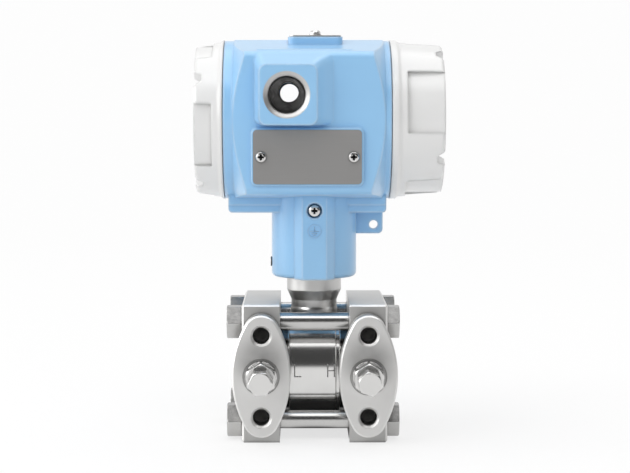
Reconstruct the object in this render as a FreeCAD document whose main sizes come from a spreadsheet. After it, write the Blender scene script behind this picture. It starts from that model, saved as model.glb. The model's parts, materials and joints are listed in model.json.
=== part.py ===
import FreeCAD, Part
import math
import operator
import os
from functools import partial
from types import SimpleNamespace

import Sketcher

# Differential pressure transmitter: a stainless process unit with two flanges and a measuring cell,
# and a cast two-compartment housing that turns on the neck above it. Millimetres, +Z up. The origin
# is on the surface it stands on, midway between the flanges, under the neck. The front, with the
# vents, the nameplate and one conduit entry, looks along -Y. The long display cover is at +X.

# Driving dimensions
SIZES = {
    # Process flanges and their ports
    "flange_gap_half": 17.75,
    "flange_thickness": 19.25,
    "flange_half_depth": 37.5,
    "flange_height": 70.4,
    "flange_edge": 1.0,
    "port_offset": 27.0,
    "snout_length": 11.0,
    "snout_half_width": 14.75,
    "snout_half_height": 30.9,
    "snout_end_radius": 9.0,
    "snout_edge": 0.8,
    "mount_thread_spacing": 41.3,
    "mount_thread_radius": 4.25,
    "mount_thread_depth": 17.0,
    "mount_thread_mouth": 5.4,
    "port_thread_radius": 6.6,
    "port_thread_depth": 15.0,
    "port_face_radius": 9.25,
    "port_face_depth": 0.6,
    "port_passage_radius": 3.0,
    "chamber_radius": 18.0,
    "chamber_depth": 1.2,
    # Flange bolts and nuts
    "bolt_offset_y": 25.0,
    "bolt_offset_z": 25.3,
    "bolt_radius": 4.7,
    "bolt_hole_clearance": 0.6,
    "bolt_hex_flats": 16.0,
    "bolt_head_height": 6.4,
    "nut_height": 7.8,
    "bolt_end_recess": 0.6,
    "hex_edge": 0.9,
    # Measuring cell
    "cell_radius": 26.5,
    "cell_half_width": 13.0,
    "cell_step_width": 2.0,
    "cell_step_depth": 0.6,
    "cell_face_radius": 23.6,
    "cell_recess_depth": 1.2,
    "diaphragm_thickness": 0.3,
    "diaphragm_ripple": 0.25,
    "overload_radius": 15.0,
    "overload_flat_radius": 10.5,
    "overload_room": 0.8,
    "overload_thickness": 0.5,
    "oil_bore_radius": 1.2,
    "gasket_radius": 19.6,
    "gasket_width": 2.4,
    "gasket_thickness": 1.6,
    # Vents
    "vent_collar_radius": 7.9,
    "vent_collar_length": 1.6,
    "vent_hex_flats": 14.0,
    "vent_hex_end": 10.8,
    "vent_bore_radius": 3.0,
    "vent_screw_flats": 10.8,
    "vent_screw_end": 25.5,
    "vent_screw_length": 20.0,
    "vent_seat_room": 2.0,
    "vent_tip_gap": 1.0,
    "vent_screw_turn": 12.0,
    # Neck adapter
    "journal_radius": 14.2,
    "collar_bottom": 75.0,
    "waist_radius": 11.9,
    "waist_top": 69.8,
    "foot_radius": 12.25,
    "foot_top": 65.0,
    "foot_edge": 1.2,
    "journal_length": 21.2,
    "lock_groove_width": 6.0,
    "lock_groove_depth": 1.5,
    "neck_seal_rise": 15.2,
    "neck_seal_section": 1.2,
    "sensor_well_radius": 9.0,
    "sensor_well_depth": 20.0,
    "sensor_height": 14.0,
    "sensor_base_height": 8.4,
    "sensor_cap_radius": 6.3,
    # Housing casting, heights from the drum axis
    "drum_axis_height": 163.7,
    "neck_bottom": 81.8,
    "drum_left": 46.2,
    "drum_right": 38.8,
    "drum_radius": 41.0,
    "root_overlap": 5.0,
    "body_rise": 0.4,
    "shoulder_fall_top": 7.4,
    "shoulder_fall_bottom": 4.4,
    "crown_half": 4.0,
    "body_corner_radius": 4.0,
    "end_band_left": 4.7,
    "end_band_right": 3.0,
    "end_bevel_run": 6.3,
    "end_bevel_rise": 12.0,
    "drum_wall": 4.5,
    "thread_bore_depth": 11.0,
    "thread_step": 1.5,
    "partition_left": 7.4,
    "partition_thickness": 4.0,
    "neck_radius": 22.15,
    "neck_edge": 2.6,
    "rib_half_width": 6.3,
    "rib_foot_half_width": 10.3,
    "rib_foot_front": 20.6,
    "rib_front": 26.2,
    "socket_room": 0.1,
    "fit_clearance": 0.05,
    "cable_way_radius": 6.0,
    "cable_way_offset": 4.5,
    "plinth_left": 44.4,
    "plinth_right": 37.3,
    "plinth_half_depth": 14.0,
    "plinth_drop": 6.9,
    "plinth_lip": 3.2,
    "plinth_lip_step": 0.8,
    "plinth_edge": 2.0,
    "lug_right": 36.1,
    "lug_drop": 11.8,
    "lug_thickness": 5.0,
    "lug_back": 6.5,
    "lug_hole_offset": 31.3,
    "lug_hole_drop": 7.1,
    "lug_hole_radius": 2.25,
    "lug_corner_radius": 2.5,
    # Conduit entries, front and rear
    "conduit_offset": 13.3,
    "conduit_thread_shift": 0.7,
    "conduit_height": 12.6,
    "conduit_reach": 10.6,
    "conduit_half_width": 14.55,
    "conduit_half_height": 15.1,
    "conduit_left_spread": 3.8,
    "conduit_right_spread": 20.0,
    "conduit_root_rise": 8.0,
    "conduit_corner_radius": 4.0,
    "conduit_thread_radius": 9.2,
    "conduit_thread_depth": 15.0,
    "conduit_mouth_radius": 11.6,
    "conduit_mouth_depth": 1.6,
    "conduit_entry_radius": 5.0,
    "conduit_entry_shift": 0.95,
    "conduit_entry_rise": 1.5,
    # Nameplate on the front
    "plate_centre_offset": 3.7,
    "plate_centre_drop": 18.4,
    "plate_half_width": 27.25,
    "plate_half_height": 13.6,
    "plate_thickness": 0.8,
    "plate_corner_radius": 2.0,
    "plate_pad_margin": 1.1,
    "plate_pad_rise": 2.0,
    "plate_pad_edge": 0.6,
    "plate_screw_offset": 23.2,
    "plate_screw_radius": 1.25,
    "plate_screw_head_radius": 2.75,
    "plate_screw_head_height": 1.7,
    "plate_screw_length": 2.4,
    # Key boss, keys and flap on top
    "boss_centre": 0.5,
    "boss_half_width": 14.0,
    "boss_half_depth": 20.0,
    "boss_rise": 1.1,
    "boss_corner_radius": 3.5,
    "key_radius": 3.6,
    "key_clearance": 0.1,
    "key_well_depth": 5.5,
    "key_sink": 0.3,
    "key_height": 2.2,
    "key_edge": 0.4,
    "key_spacing": 9.0,
    "key_middle": 4.5,
    "spring_radius": 2.4,
    "spring_wire_radius": 0.25,
    "spring_turns": 3,
    "flap_half_width": 13.2,
    "flap_half_depth": 19.0,
    "flap_thickness": 0.7,
    "flap_corner_radius": 2.5,
    "flap_pivot": 14.5,
    "flap_gap": 0.05,
    "flap_screw_shoulder_radius": 2.0,
    "flap_screw_radius": 1.5,
    "flap_screw_depth": 5.0,
    "flap_screw_head_radius": 2.75,
    "flap_screw_head_height": 2.2,
    "flap_washer_radius": 3.1,
    "flap_washer_thickness": 0.5,
    # Screws of the neck
    "lock_screw_rise": 7.7,
    "lock_screw_radius": 2.5,
    "lock_screw_tip_gap": 0.3,
    "lock_screw_proud": 0.6,
    "lock_screw_socket_flats": 2.5,
    "earth_screw_drop": 46.3,
    "earth_screw_radius": 2.0,
    "earth_screw_length": 9.0,
    "earth_screw_head_radius": 3.3,
    "earth_screw_head_height": 2.2,
    "earth_counterbore_radius": 3.9,
    "earth_counterbore_depth": 2.0,
    "recess_radius": 1.6,
    "recess_depth": 1.2,
    # Terminal compartment
    "terminal_block_side_gap": 5.0,
    "terminal_block_shoulder": 10.9,
    "terminal_block_depth": 13.0,
    "terminal_block_top": 3.0,
    "terminal_block_foot_gap": 8.0,
    "terminal_block_foot_half_width": 17.2,
    "terminal_drop": 8.0,
    "terminal_well_half": 5.0,
    "terminal_well_depth": 4.0,
    "terminal_screw_radius": 1.5,
    "terminal_screw_head_radius": 3.0,
    "terminal_screw_head_height": 2.0,
    "terminal_screw_length": 5.0,
    "block_screw_inset": 7.0,
    "block_screw_rise": 11.0,
    "block_screw_length": 16.0,
    "inner_earth_inset": 3.8,
    "inner_earth_slope": 1.2,
    # Electronics compartment
    "module_gap": 2.0,
    "module_depth": 22.0,
    "module_edge": 2.0,
    "module_flat_drop": 6.0,
    "module_screw_length": 25.0,
    "display_gap": 3.5,
    "display_edge": 1.0,
    "display_stem_radius": 22.0,
    "display_stem_length": 8.0,
    "display_depth": 16.0,
    "lcd_half_width": 19.0,
    "lcd_half_height": 13.0,
    "lcd_recess": 2.0,
    "lcd_thickness": 1.0,
    # Covers
    "cover_gap": 0.35,
    "cover_ring_rise": 0.3,
    "cover_ring_edge": 1.6,
    "cover_spigot_length": 9.5,
    "cover_spigot_wall": 3.5,
    "cover_seal_groove": 2.4,
    "cover_seal_section": 0.85,
    "cover_skirt_step": 1.1,
    "cover_skirt_draft": 1.3,
    "cover_edge": 1.2,
    "cover_wall": 3.5,
    "terminal_cover_length": 14.8,
    "terminal_cover_ring": 2.7,
    "terminal_cover_turn": 12.0,
    "display_cover_length": 27.3,
    "display_cover_ring": 5.1,
    "display_cover_turn": 14.5,
    "rim_width": 6.5,
    "rim_height": 3.6,
    "rim_draft": 0.8,
    "notch_mouth_half": 4.0,
    "notch_floor_half": 1.9,
    "notch_depth": 3.8,
    "panel_count": 4,
    "panel_half_width": 16.0,
    "panel_depth": 1.2,
    "panel_margin": 3.2,
    "window_radius": 25.5,
    "window_lip": 2.5,
    "glass_seat": 3.5,
    "glass_thickness": 6.0,
    "window_ring_thickness": 2.5,
    "window_ring_seat": 1.0,
}

doc = FreeCAD.newDocument("Transmitter")
sheet = doc.addObject("Spreadsheet::Sheet", "Dimensions")
for row, (alias, number) in enumerate(SIZES.items(), start=1):
    sheet.set(f"A{row}", alias)
    sheet.set(f"B{row}", str(number))
    sheet.setAlias(f"B{row}", alias)
doc.recompute()


class Size:
    """A size of the drawing: its value, and the sheet formula that a property is bound to."""

    def __init__(self, value, formula):
        self.value = value
        self.formula = formula

    def __add__(self, other):
        return combine(self, "+", other)

    def __radd__(self, other):
        return combine(other, "+", self)

    def __sub__(self, other):
        return combine(self, "-", other)

    def __rsub__(self, other):
        return combine(other, "-", self)

    def __mul__(self, other):
        return combine(self, "*", other)

    def __rmul__(self, other):
        return combine(other, "*", self)

    def __truediv__(self, other):
        return combine(self, "/", other)

    def __neg__(self):
        return combine(0, "-", self)


OPERATIONS = {"+": operator.add, "-": operator.sub, "*": operator.mul, "/": operator.truediv}


def sized(number):
    return number if isinstance(number, Size) else Size(number, str(number))


def combine(left, sign, right):
    left, right = sized(left), sized(right)
    value = OPERATIONS[sign](left.value, right.value)
    return Size(value, f"({left.formula} {sign} {right.formula})")


def root(size):
    return Size(math.sqrt(size.value), f"sqrt({size.formula})")


d = SimpleNamespace(**{alias: Size(number, "Dimensions." + alias) for alias, number in SIZES.items()})
HEX_CORNER = 2 / math.sqrt(3)
# How far a cutting outline reaches past the face that it opens
PAST = 1
# Rise of a turned end cone, and height of a drill's tip, over their radius
CONE_RISE = 0.6
# Shape of a rounded screw head, as shares of its height and radius from the rim up
HEAD_PROFILE = ((1, 0.45), (0.86, 0.82), (0.55, 1))


# Building blocks
def turn_about(axis, degrees):
    return FreeCAD.Rotation(FreeCAD.Vector(*axis), degrees)


def bind(thing, path, size):
    """Ties one property to the sheet."""
    thing.setExpression(path, sized(size).formula)


def place(thing, x=0, y=0, z=0, turn=None):
    """Puts a piece at its place; turn is an (axis, degrees) pair."""
    if turn:
        thing.Placement = FreeCAD.Placement(FreeCAD.Vector(), turn_about(*turn))
    for letter, size in zip("xyz", (x, y, z)):
        if isinstance(size, Size) or size:
            bind(thing, "Placement.Base." + letter, size)
    return thing


def new_body(name):
    return doc.addObject("PartDesign::Body", name)


def origin_plane(body, role):
    return next(feature for feature in body.Origin.OriginFeatures if feature.Role == role)


def new_sketch(body, name, plane, shift=(0, 0, 0)):
    """A sketch on a plane of the body's origin, moved by shift across, up and out of that plane."""
    sketch = body.newObject("Sketcher::SketchObject", name)
    sketch.AttachmentSupport = [(origin_plane(body, plane), "")]
    sketch.MapMode = "FlatFace"
    for letter, size in zip("xyz", shift):
        if isinstance(size, Size) or size:
            bind(sketch, "AttachmentOffset.Base." + letter, size)
    return sketch


def hold(sketch, kind, size, *where):
    """Adds a dimension to a sketch and ties it to the sheet."""
    size = sized(size)
    index = sketch.addConstraint(Sketcher.Constraint(kind, *where, size.value))
    sketch.setExpression(f"Constraints[{index}]", size.formula)


def hold_point(sketch, geometry, end, across, up):
    """Fixes a point by its distances from the sketch origin."""
    for kind, axis, size in (("DistanceX", -2, across), ("DistanceY", -1, up)):
        if isinstance(size, Size) or size:
            hold(sketch, kind, size, -1, 1, geometry, end)
        else:
            sketch.addConstraint(Sketcher.Constraint("PointOnObject", geometry, end, axis))


def draw_polygon(sketch, corners):
    """Draws a closed outline through (across, up) corners."""
    first = sketch.GeometryCount
    points = [FreeCAD.Vector(sized(x).value, sized(y).value, 0) for x, y in corners]
    for start, end in zip(points, points[1:] + points[:1]):
        sketch.addGeometry(Part.LineSegment(start, end))
    for number, (across, up) in enumerate(corners):
        following = first + (number + 1) % len(corners)
        sketch.addConstraint(Sketcher.Constraint("Coincident", first + number, 2, following, 1))
        hold_point(sketch, first + number, 1, across, up)


def draw_box(sketch, half_across, half_up):
    """Draws a rectangle about the sketch origin."""
    low = [(-half_across, -half_up), (half_across, -half_up)]
    draw_polygon(sketch, low + [(half_across, half_up), (-half_across, half_up)])


def draw_circle(sketch, across, up, radius):
    centre = FreeCAD.Vector(sized(across).value, sized(up).value, 0)
    index = sketch.addGeometry(Part.Circle(centre, FreeCAD.Vector(0, 0, 1), sized(radius).value))
    hold(sketch, "Radius", radius, index)
    hold_point(sketch, index, 3, across, up)


def draw_lens(sketch, half_width, half_height, end_radius, side_radius):
    """Draws an oval of two long side arcs and two end arcs that run into each other smoothly."""
    middle = half_height - end_radius
    meeting = middle * side_radius / (side_radius - end_radius)
    lean = math.atan2(middle.value, (side_radius - half_width).value)
    upright = FreeCAD.Vector(0, 0, 1)
    for up, turn in ((1, 0), (-1, math.pi)):
        circle = Part.Circle(FreeCAD.Vector(0, up * middle.value, 0), upright, end_radius.value)
        index = sketch.addGeometry(Part.ArcOfCircle(circle, lean + turn, math.pi - lean + turn))
        hold(sketch, "Radius", end_radius, index)
        hold_point(sketch, index, 3, 0, up * middle)
        for end in (1, 2):
            hold(sketch, "DistanceY", up * meeting, -1, 1, index, end)
    for side, turn in ((1, 0), (-1, math.pi)):
        centre = FreeCAD.Vector(side * (half_width - side_radius).value, 0, 0)
        circle = Part.Circle(centre, upright, side_radius.value)
        index = sketch.addGeometry(Part.ArcOfCircle(circle, turn - lean, turn + lean))
        hold(sketch, "Radius", side_radius, index)
    for first, first_end, second, second_end in ((2, 2, 0, 1), (0, 2, 3, 1), (3, 2, 1, 1), (1, 2, 2, 1)):
        sketch.addConstraint(Sketcher.Constraint("Coincident", first, first_end, second, second_end))


def draw_rounded(sketch, left, bottom, right, top, radius):
    """Draws a rectangle with round corners."""
    corners = (
        (right, top, -1, -1, 0),
        (left, top, 1, -1, 1),
        (left, bottom, 1, 1, 2),
        (right, bottom, -1, 1, 3),
    )
    upright = FreeCAD.Vector(0, 0, 1)
    for across, up, inward, upward, quarter in corners:
        centre = (across + inward * radius, up + upward * radius)
        circle = Part.Circle(FreeCAD.Vector(centre[0].value, centre[1].value, 0), upright, radius.value)
        start = quarter * math.pi / 2
        index = sketch.addGeometry(Part.ArcOfCircle(circle, start, start + math.pi / 2))
        hold(sketch, "Radius", radius, index)
        hold_point(sketch, index, 3, *centre)
        first, second = ("DistanceY", "DistanceX") if quarter % 2 == 0 else ("DistanceX", "DistanceY")
        for kind, end in ((first, 1), (second, 2)):
            hold(sketch, kind, centre[0] if kind == "DistanceX" else centre[1], -1, 1, index, end)
    for quarter in range(4):
        following = (quarter + 1) % 4
        line = Part.LineSegment(sketch.getPoint(quarter, 2), sketch.getPoint(following, 1))
        index = sketch.addGeometry(line)
        sketch.addConstraint(Sketcher.Constraint("Coincident", index, 1, quarter, 2))
        sketch.addConstraint(Sketcher.Constraint("Coincident", index, 2, following, 1))


def draw_hexagon(sketch, flats):
    """Draws a hexagon with corners above and below the sketch origin."""
    corner = flats * HEX_CORNER / 2
    draw_polygon(
        sketch,
        [
            (0, corner),
            (-flats / 2, corner / 2),
            (-flats / 2, -corner / 2),
            (0, -corner),
            (flats / 2, -corner / 2),
            (flats / 2, corner / 2),
        ],
    )


def turn_profile(body, kind, name, corners, plane="XZ_Plane", shift=(0, 0, 0), axis="V_Axis"):
    """Revolves an outline about an axis of its sketch, as added or removed material."""
    sketch = new_sketch(body, name + "_outline", plane, shift)
    draw_polygon(sketch, corners)
    feature = body.newObject("PartDesign::" + kind, name)
    feature.Profile = sketch
    feature.ReferenceAxis = (sketch, [axis])
    feature.Angle = 360
    return feature


def extrude(body, kind, name, sketch, length, reversed_side=False):
    feature = body.newObject("PartDesign::" + kind, name)
    feature.Profile = sketch
    feature.Reversed = reversed_side
    bind(feature, "Length", length)
    return feature


def dress(body, kind, name, base, size, wanted):
    """Rounds or bevels the edges of the last feature that the test picks."""
    doc.recompute()
    if "Invalid" in base.State or "Error" in base.State:
        raise RuntimeError(f"{base.Name} is in state {base.State}")
    names = [f"Edge{number}" for number, edge in enumerate(base.Shape.Edges, 1) if wanted(edge)]
    if not names:
        raise RuntimeError(f"{name}: no edge to work on")
    feature = body.newObject("PartDesign::" + kind, name)
    feature.Base = (base, names)
    bind(feature, "Radius" if kind == "Fillet" else "Size", size)
    return feature


def near(left, right):
    return abs(sized(left).value - sized(right).value) < 1e-4


def edge_is_straight_along(edge, letter):
    if edge.Curve.TypeId != "Part::GeomLine":
        return False
    return abs(getattr(edge.Curve.Direction, letter.lower())) > 0.999


def edge_lies_at(edge, letter, level):
    ends = (getattr(edge.BoundBox, letter + "Min"), getattr(edge.BoundBox, letter + "Max"))
    return near(ends[0], level) and near(ends[1], level)


def copy_of(source, name, x, y, z, turn):
    """A second instance of a piece that stands elsewhere."""
    link = doc.addObject("App::Link", name)
    link.LinkedObject = source
    link.Placement = FreeCAD.Placement(FreeCAD.Vector(), turn_about(*turn))
    for letter, size in zip("xyz", (x, y, z)):
        if isinstance(size, Size) or size:
            bind(link, "LinkPlacement.Base." + letter, size)
    return link


def group(name, pieces):
    compound = doc.addObject("Part::Compound", name)
    compound.Links = pieces
    return compound


def ring_seal(name, centre_radius, section_radius):
    seal = doc.addObject("Part::Torus", name)
    bind(seal, "Radius1", centre_radius)
    bind(seal, "Radius2", section_radius)
    return seal


def head_recess(body, name, top):
    """Four-armed driver recess in the top of a screw head that stands along local Z."""
    arm = d.recess_radius / 3
    for number, (half_across, half_up) in enumerate(((d.recess_radius, arm), (arm, d.recess_radius))):
        sketch = new_sketch(body, f"{name}_arm_{number}", "XY_Plane", (0, 0, top))
        draw_box(sketch, half_across, half_up)
        extrude(body, "Pocket", f"{name}_{number}", sketch, d.recess_depth)


def head_outline(head_radius, head_height):
    """The outer half of a screw head's section, from its underside to its axis."""
    rounded = [(head_radius * across, head_height * up) for across, up in HEAD_PROFILE]
    return [(head_radius, 0), *rounded, (0, head_height)]


def pan_screw(name, radius, length, head_radius, head_height):
    """Cross-recessed screw along local Z, with the underside of its head at the local origin."""
    body = new_body(name)
    outline = [(0, -length), (radius, -length), (radius, 0), *head_outline(head_radius, head_height)]
    turn_profile(body, "Revolution", name + "_turned", outline)
    head_recess(body, name + "_recess", head_height)
    return body


def hexagon_prism(name, flats, height, edge, bore=None, both_ends=False):
    """Hexagon along local +Z from the local origin, with its outer end turned to a cone."""
    body = new_body(name)
    sketch = new_sketch(body, name + "_hexagon", "XY_Plane")
    draw_hexagon(sketch, flats)
    if bore:
        draw_circle(sketch, 0, 0, bore)
    extrude(body, "Pad", name + "_prism", sketch, height)
    corner = flats * HEX_CORNER / 2
    turned = corner - edge
    outside = corner + PAST
    fall = (edge + PAST) * CONE_RISE
    outline = [(turned, height), (outside, height - fall), (outside, height + PAST), (turned, height + PAST)]
    turn_profile(body, "Groove", name + "_end_cone", outline)
    if both_ends:
        outline = [(turned, 0), (outside, fall), (outside, -PAST), (turned, -PAST)]
        turn_profile(body, "Groove", name + "_seat_cone", outline)
    return body


TO_RIGHT = ((0, 1, 0), 90)
TO_LEFT = ((0, 1, 0), -90)
TO_FRONT = ((1, 0, 0), 90)

UPRIGHT = (0, 0, 1)

# Process flanges
flange_outer = d.flange_gap_half + d.flange_thickness
port_face = d.flange_half_depth + d.snout_length
cell_height = d.flange_height / 2
thread_offset = d.mount_thread_spacing / 2
end_drop = d.snout_half_height - d.snout_end_radius
# A side arc touches both end arcs and passes through the middle of the side
side_sum = d.snout_half_width * d.snout_half_width - d.snout_end_radius * d.snout_end_radius
snout_side_radius = (side_sum + end_drop * end_drop) / (2 * (d.snout_half_width - d.snout_end_radius))

flange = new_body("flange_high")
block = new_sketch(flange, "flange_block_outline", "YZ_Plane", (0, 0, d.flange_gap_half))
draw_polygon(
    block,
    [
        (-d.flange_half_depth, 0),
        (d.flange_half_depth, 0),
        (d.flange_half_depth, d.flange_height),
        (-d.flange_half_depth, d.flange_height),
    ],
)
block_pad = extrude(flange, "Pad", "flange_block", block, d.flange_thickness)
dress(
    flange,
    "Chamfer",
    "flange_block_edges",
    block_pad,
    d.flange_edge,
    lambda edge: edge_lies_at(edge, "X", flange_outer)
    or (edge_is_straight_along(edge, "X") and not near(edge.BoundBox.ZMin, 0)),
)
for side, face_side in (("front", 1), ("rear", -1)):
    start = d.flange_half_depth if side == "front" else -d.flange_half_depth
    snout = new_sketch(flange, f"snout_{side}_outline", "XZ_Plane", (d.port_offset, cell_height, start))
    draw_lens(snout, d.snout_half_width, d.snout_half_height, d.snout_end_radius, snout_side_radius)
    snout_pad = extrude(flange, "Pad", f"snout_{side}", snout, d.snout_length, side == "rear")
    dress(
        flange,
        "Chamfer",
        f"snout_{side}_edge",
        snout_pad,
        d.snout_edge,
        lambda edge: edge_lies_at(edge, "Y", -face_side * port_face),
    )

bolt_holes = new_sketch(flange, "bolt_holes_outline", "YZ_Plane", (0, cell_height, flange_outer))
for across in (-d.bolt_offset_y, d.bolt_offset_y):
    for up in (-d.bolt_offset_z, d.bolt_offset_z):
        draw_circle(bolt_holes, across, up, d.bolt_radius + d.bolt_hole_clearance)
extrude(flange, "Pocket", "bolt_holes", bolt_holes, d.flange_thickness)

chamber = new_sketch(flange, "chamber_outline", "YZ_Plane", (0, cell_height, d.flange_gap_half))
draw_circle(chamber, 0, 0, d.chamber_radius)
extrude(flange, "Pocket", "chamber", chamber, d.chamber_depth, True)
seat = new_sketch(flange, "gasket_seat_outline", "YZ_Plane", (0, cell_height, d.flange_gap_half))
draw_circle(seat, 0, 0, d.gasket_radius)
draw_circle(seat, 0, 0, d.gasket_radius + d.gasket_width)
extrude(flange, "Pocket", "gasket_seat", seat, d.gasket_thickness, True)
cross_way = new_sketch(flange, "cross_way_outline", "YZ_Plane", (0, cell_height, d.flange_gap_half))
draw_circle(cross_way, 0, 0, d.port_passage_radius)
extrude(flange, "Pocket", "cross_way", cross_way, d.port_offset - d.flange_gap_half, True)
through_way = new_sketch(flange, "through_way_outline", "XZ_Plane", (d.port_offset, cell_height, port_face))
draw_circle(through_way, 0, 0, d.port_passage_radius)
extrude(flange, "Pocket", "through_way", through_way, port_face * 2)

for side, sign in (("front", 1), ("rear", -1)):
    # Both turned cuts are drawn from the port face inwards, in the sketch's own (out, radius) frame.
    def from_face(depth):
        return sign * (depth - port_face)

    turn_profile(
        flange,
        "Groove",
        f"port_{side}",
        [
            (from_face(-PAST), 0),
            (from_face(-PAST), d.port_face_radius),
            (from_face(d.port_face_depth), d.port_face_radius),
            (from_face(d.port_face_depth), d.port_thread_radius),
            (from_face(d.port_thread_depth), d.port_thread_radius),
            (from_face(d.port_thread_depth), 0),
        ],
        plane="YZ_Plane",
        shift=(0, cell_height, d.port_offset),
        axis="H_Axis",
    )
    for level, offset in (("upper", thread_offset), ("lower", -thread_offset)):
        turn_profile(
            flange,
            "Groove",
            f"mount_thread_{side}_{level}",
            [
                (from_face(-PAST), 0),
                (from_face(-PAST), d.mount_thread_mouth),
                (from_face(0), d.mount_thread_mouth),
                (from_face(d.mount_thread_mouth - d.mount_thread_radius), d.mount_thread_radius),
                (from_face(d.mount_thread_depth), d.mount_thread_radius),
                (from_face(d.mount_thread_depth + d.mount_thread_radius * CONE_RISE), 0),
            ],
            plane="YZ_Plane",
            shift=(0, cell_height + offset, d.port_offset),
            axis="H_Axis",
        )

flange_low = doc.addObject("Part::Mirroring", "flange_low")
flange_low.Source = flange
flange_low.Normal = (1, 0, 0)

# Flange bolts and nuts
bolt_reach = flange_outer + flange_outer + d.nut_height - d.bolt_end_recess
bolt = hexagon_prism("flange_bolt_upper_front", d.bolt_hex_flats, d.bolt_head_height, d.hex_edge)
shank = new_sketch(bolt, "bolt_shank_outline", "XY_Plane")
draw_circle(shank, 0, 0, d.bolt_radius)
extrude(bolt, "Pad", "bolt_shank", shank, bolt_reach, True)
nut = hexagon_prism("flange_nut_upper_front", d.bolt_hex_flats, d.nut_height, d.hex_edge, d.bolt_radius, True)


def four_round_the_cell(name, source, x, turn):
    place(source, x, -d.bolt_offset_y, cell_height + d.bolt_offset_z, turn)
    others = [
        copy_of(source, name + "_upper_rear", x, d.bolt_offset_y, cell_height + d.bolt_offset_z, turn),
        copy_of(source, name + "_lower_front", x, -d.bolt_offset_y, cell_height - d.bolt_offset_z, turn),
        copy_of(source, name + "_lower_rear", x, d.bolt_offset_y, cell_height - d.bolt_offset_z, turn),
    ]
    return group(name + "s", [source] + others)


flange_bolts = four_round_the_cell("flange_bolt", bolt, flange_outer, TO_RIGHT)
flange_nuts = four_round_the_cell("flange_nut", nut, -flange_outer, TO_LEFT)

# Measuring cell, turned about local Z
cell = new_body("measuring_cell")
step_level = d.cell_half_width - d.cell_step_width
turn_profile(
    cell,
    "Revolution",
    "cell_turned",
    [
        (0, -d.flange_gap_half),
        (d.cell_face_radius, -d.flange_gap_half),
        (d.cell_face_radius, -d.cell_half_width),
        (d.cell_radius - d.cell_step_depth, -d.cell_half_width),
        (d.cell_radius - d.cell_step_depth, -step_level),
        (d.cell_radius, -step_level),
        (d.cell_radius, d.cell_half_width),
        (d.cell_face_radius, d.cell_half_width),
        (d.cell_face_radius, d.flange_gap_half),
        (0, d.flange_gap_half),
    ],
)
for name, level, sign in (("low", -d.flange_gap_half, 1), ("high", d.flange_gap_half, -1)):
    turn_profile(
        cell,
        "Groove",
        f"cell_recess_{name}",
        [
            (0, level - sign * PAST),
            (d.chamber_radius, level - sign * PAST),
            (d.chamber_radius, level + sign * d.cell_recess_depth),
            (0, level + sign * d.cell_recess_depth),
        ],
    )
turn_profile(
    cell,
    "Groove",
    "overload_room",
    [
        (0, -d.overload_room),
        (d.overload_flat_radius, -d.overload_room),
        (d.overload_radius, -d.overload_thickness / 2),
        (d.overload_radius, d.overload_thickness / 2),
        (d.overload_flat_radius, d.overload_room),
        (0, d.overload_room),
    ],
)
oil_way = new_sketch(cell, "oil_way_outline", "XY_Plane", (0, 0, -d.flange_gap_half))
draw_circle(oil_way, 0, 0, d.oil_bore_radius)
extrude(cell, "Pocket", "oil_way", oil_way, d.flange_gap_half * 2, True)
sensor_way = new_sketch(cell, "sensor_way_outline", "YZ_Plane")
draw_circle(sensor_way, 0, 0, d.oil_bore_radius / 2)
extrude(cell, "Pocket", "sensor_way", sensor_way, d.cell_radius, True)
place(cell, 0, 0, cell_height, TO_LEFT)


def diaphragm(name, x):
    """Thin disc with concentric ripples, turned about local Z and edge-welded in the cell recess."""
    body = new_body(name)
    ripples = 6
    upper = []
    for number in range(ripples + 1):
        lift = d.diaphragm_ripple if number % 2 else 0
        upper.append((d.chamber_radius * number / ripples if number else 0, lift))
    lower = [(radius, lift - d.diaphragm_thickness) for radius, lift in reversed(upper)]
    turn_profile(body, "Revolution", name + "_turned", upper + lower)
    return place(body, x, 0, cell_height, TO_RIGHT)


middle_of_recess = d.flange_gap_half - d.cell_recess_depth / 2
diaphragm_high = diaphragm("diaphragm_high", middle_of_recess)
diaphragm_low = diaphragm("diaphragm_low", -middle_of_recess)

overload = new_body("overload_diaphragm")
disc = new_sketch(overload, "overload_outline", "YZ_Plane", (0, 0, -d.overload_thickness / 2))
draw_circle(disc, 0, 0, d.overload_radius)
extrude(overload, "Pad", "overload_disc", disc, d.overload_thickness)
place(overload, 0, 0, cell_height)


def gasket(name, x):
    body = new_body(name)
    outline = new_sketch(body, name + "_outline", "YZ_Plane")
    draw_circle(outline, 0, 0, d.gasket_radius)
    draw_circle(outline, 0, 0, d.gasket_radius + d.gasket_width)
    extrude(body, "Pad", name + "_ring", outline, d.gasket_thickness)
    return place(body, x, 0, cell_height)


gasket_high = gasket("gasket_high", d.flange_gap_half)
gasket_low = gasket("gasket_low", -d.flange_gap_half - d.gasket_thickness)


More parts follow.
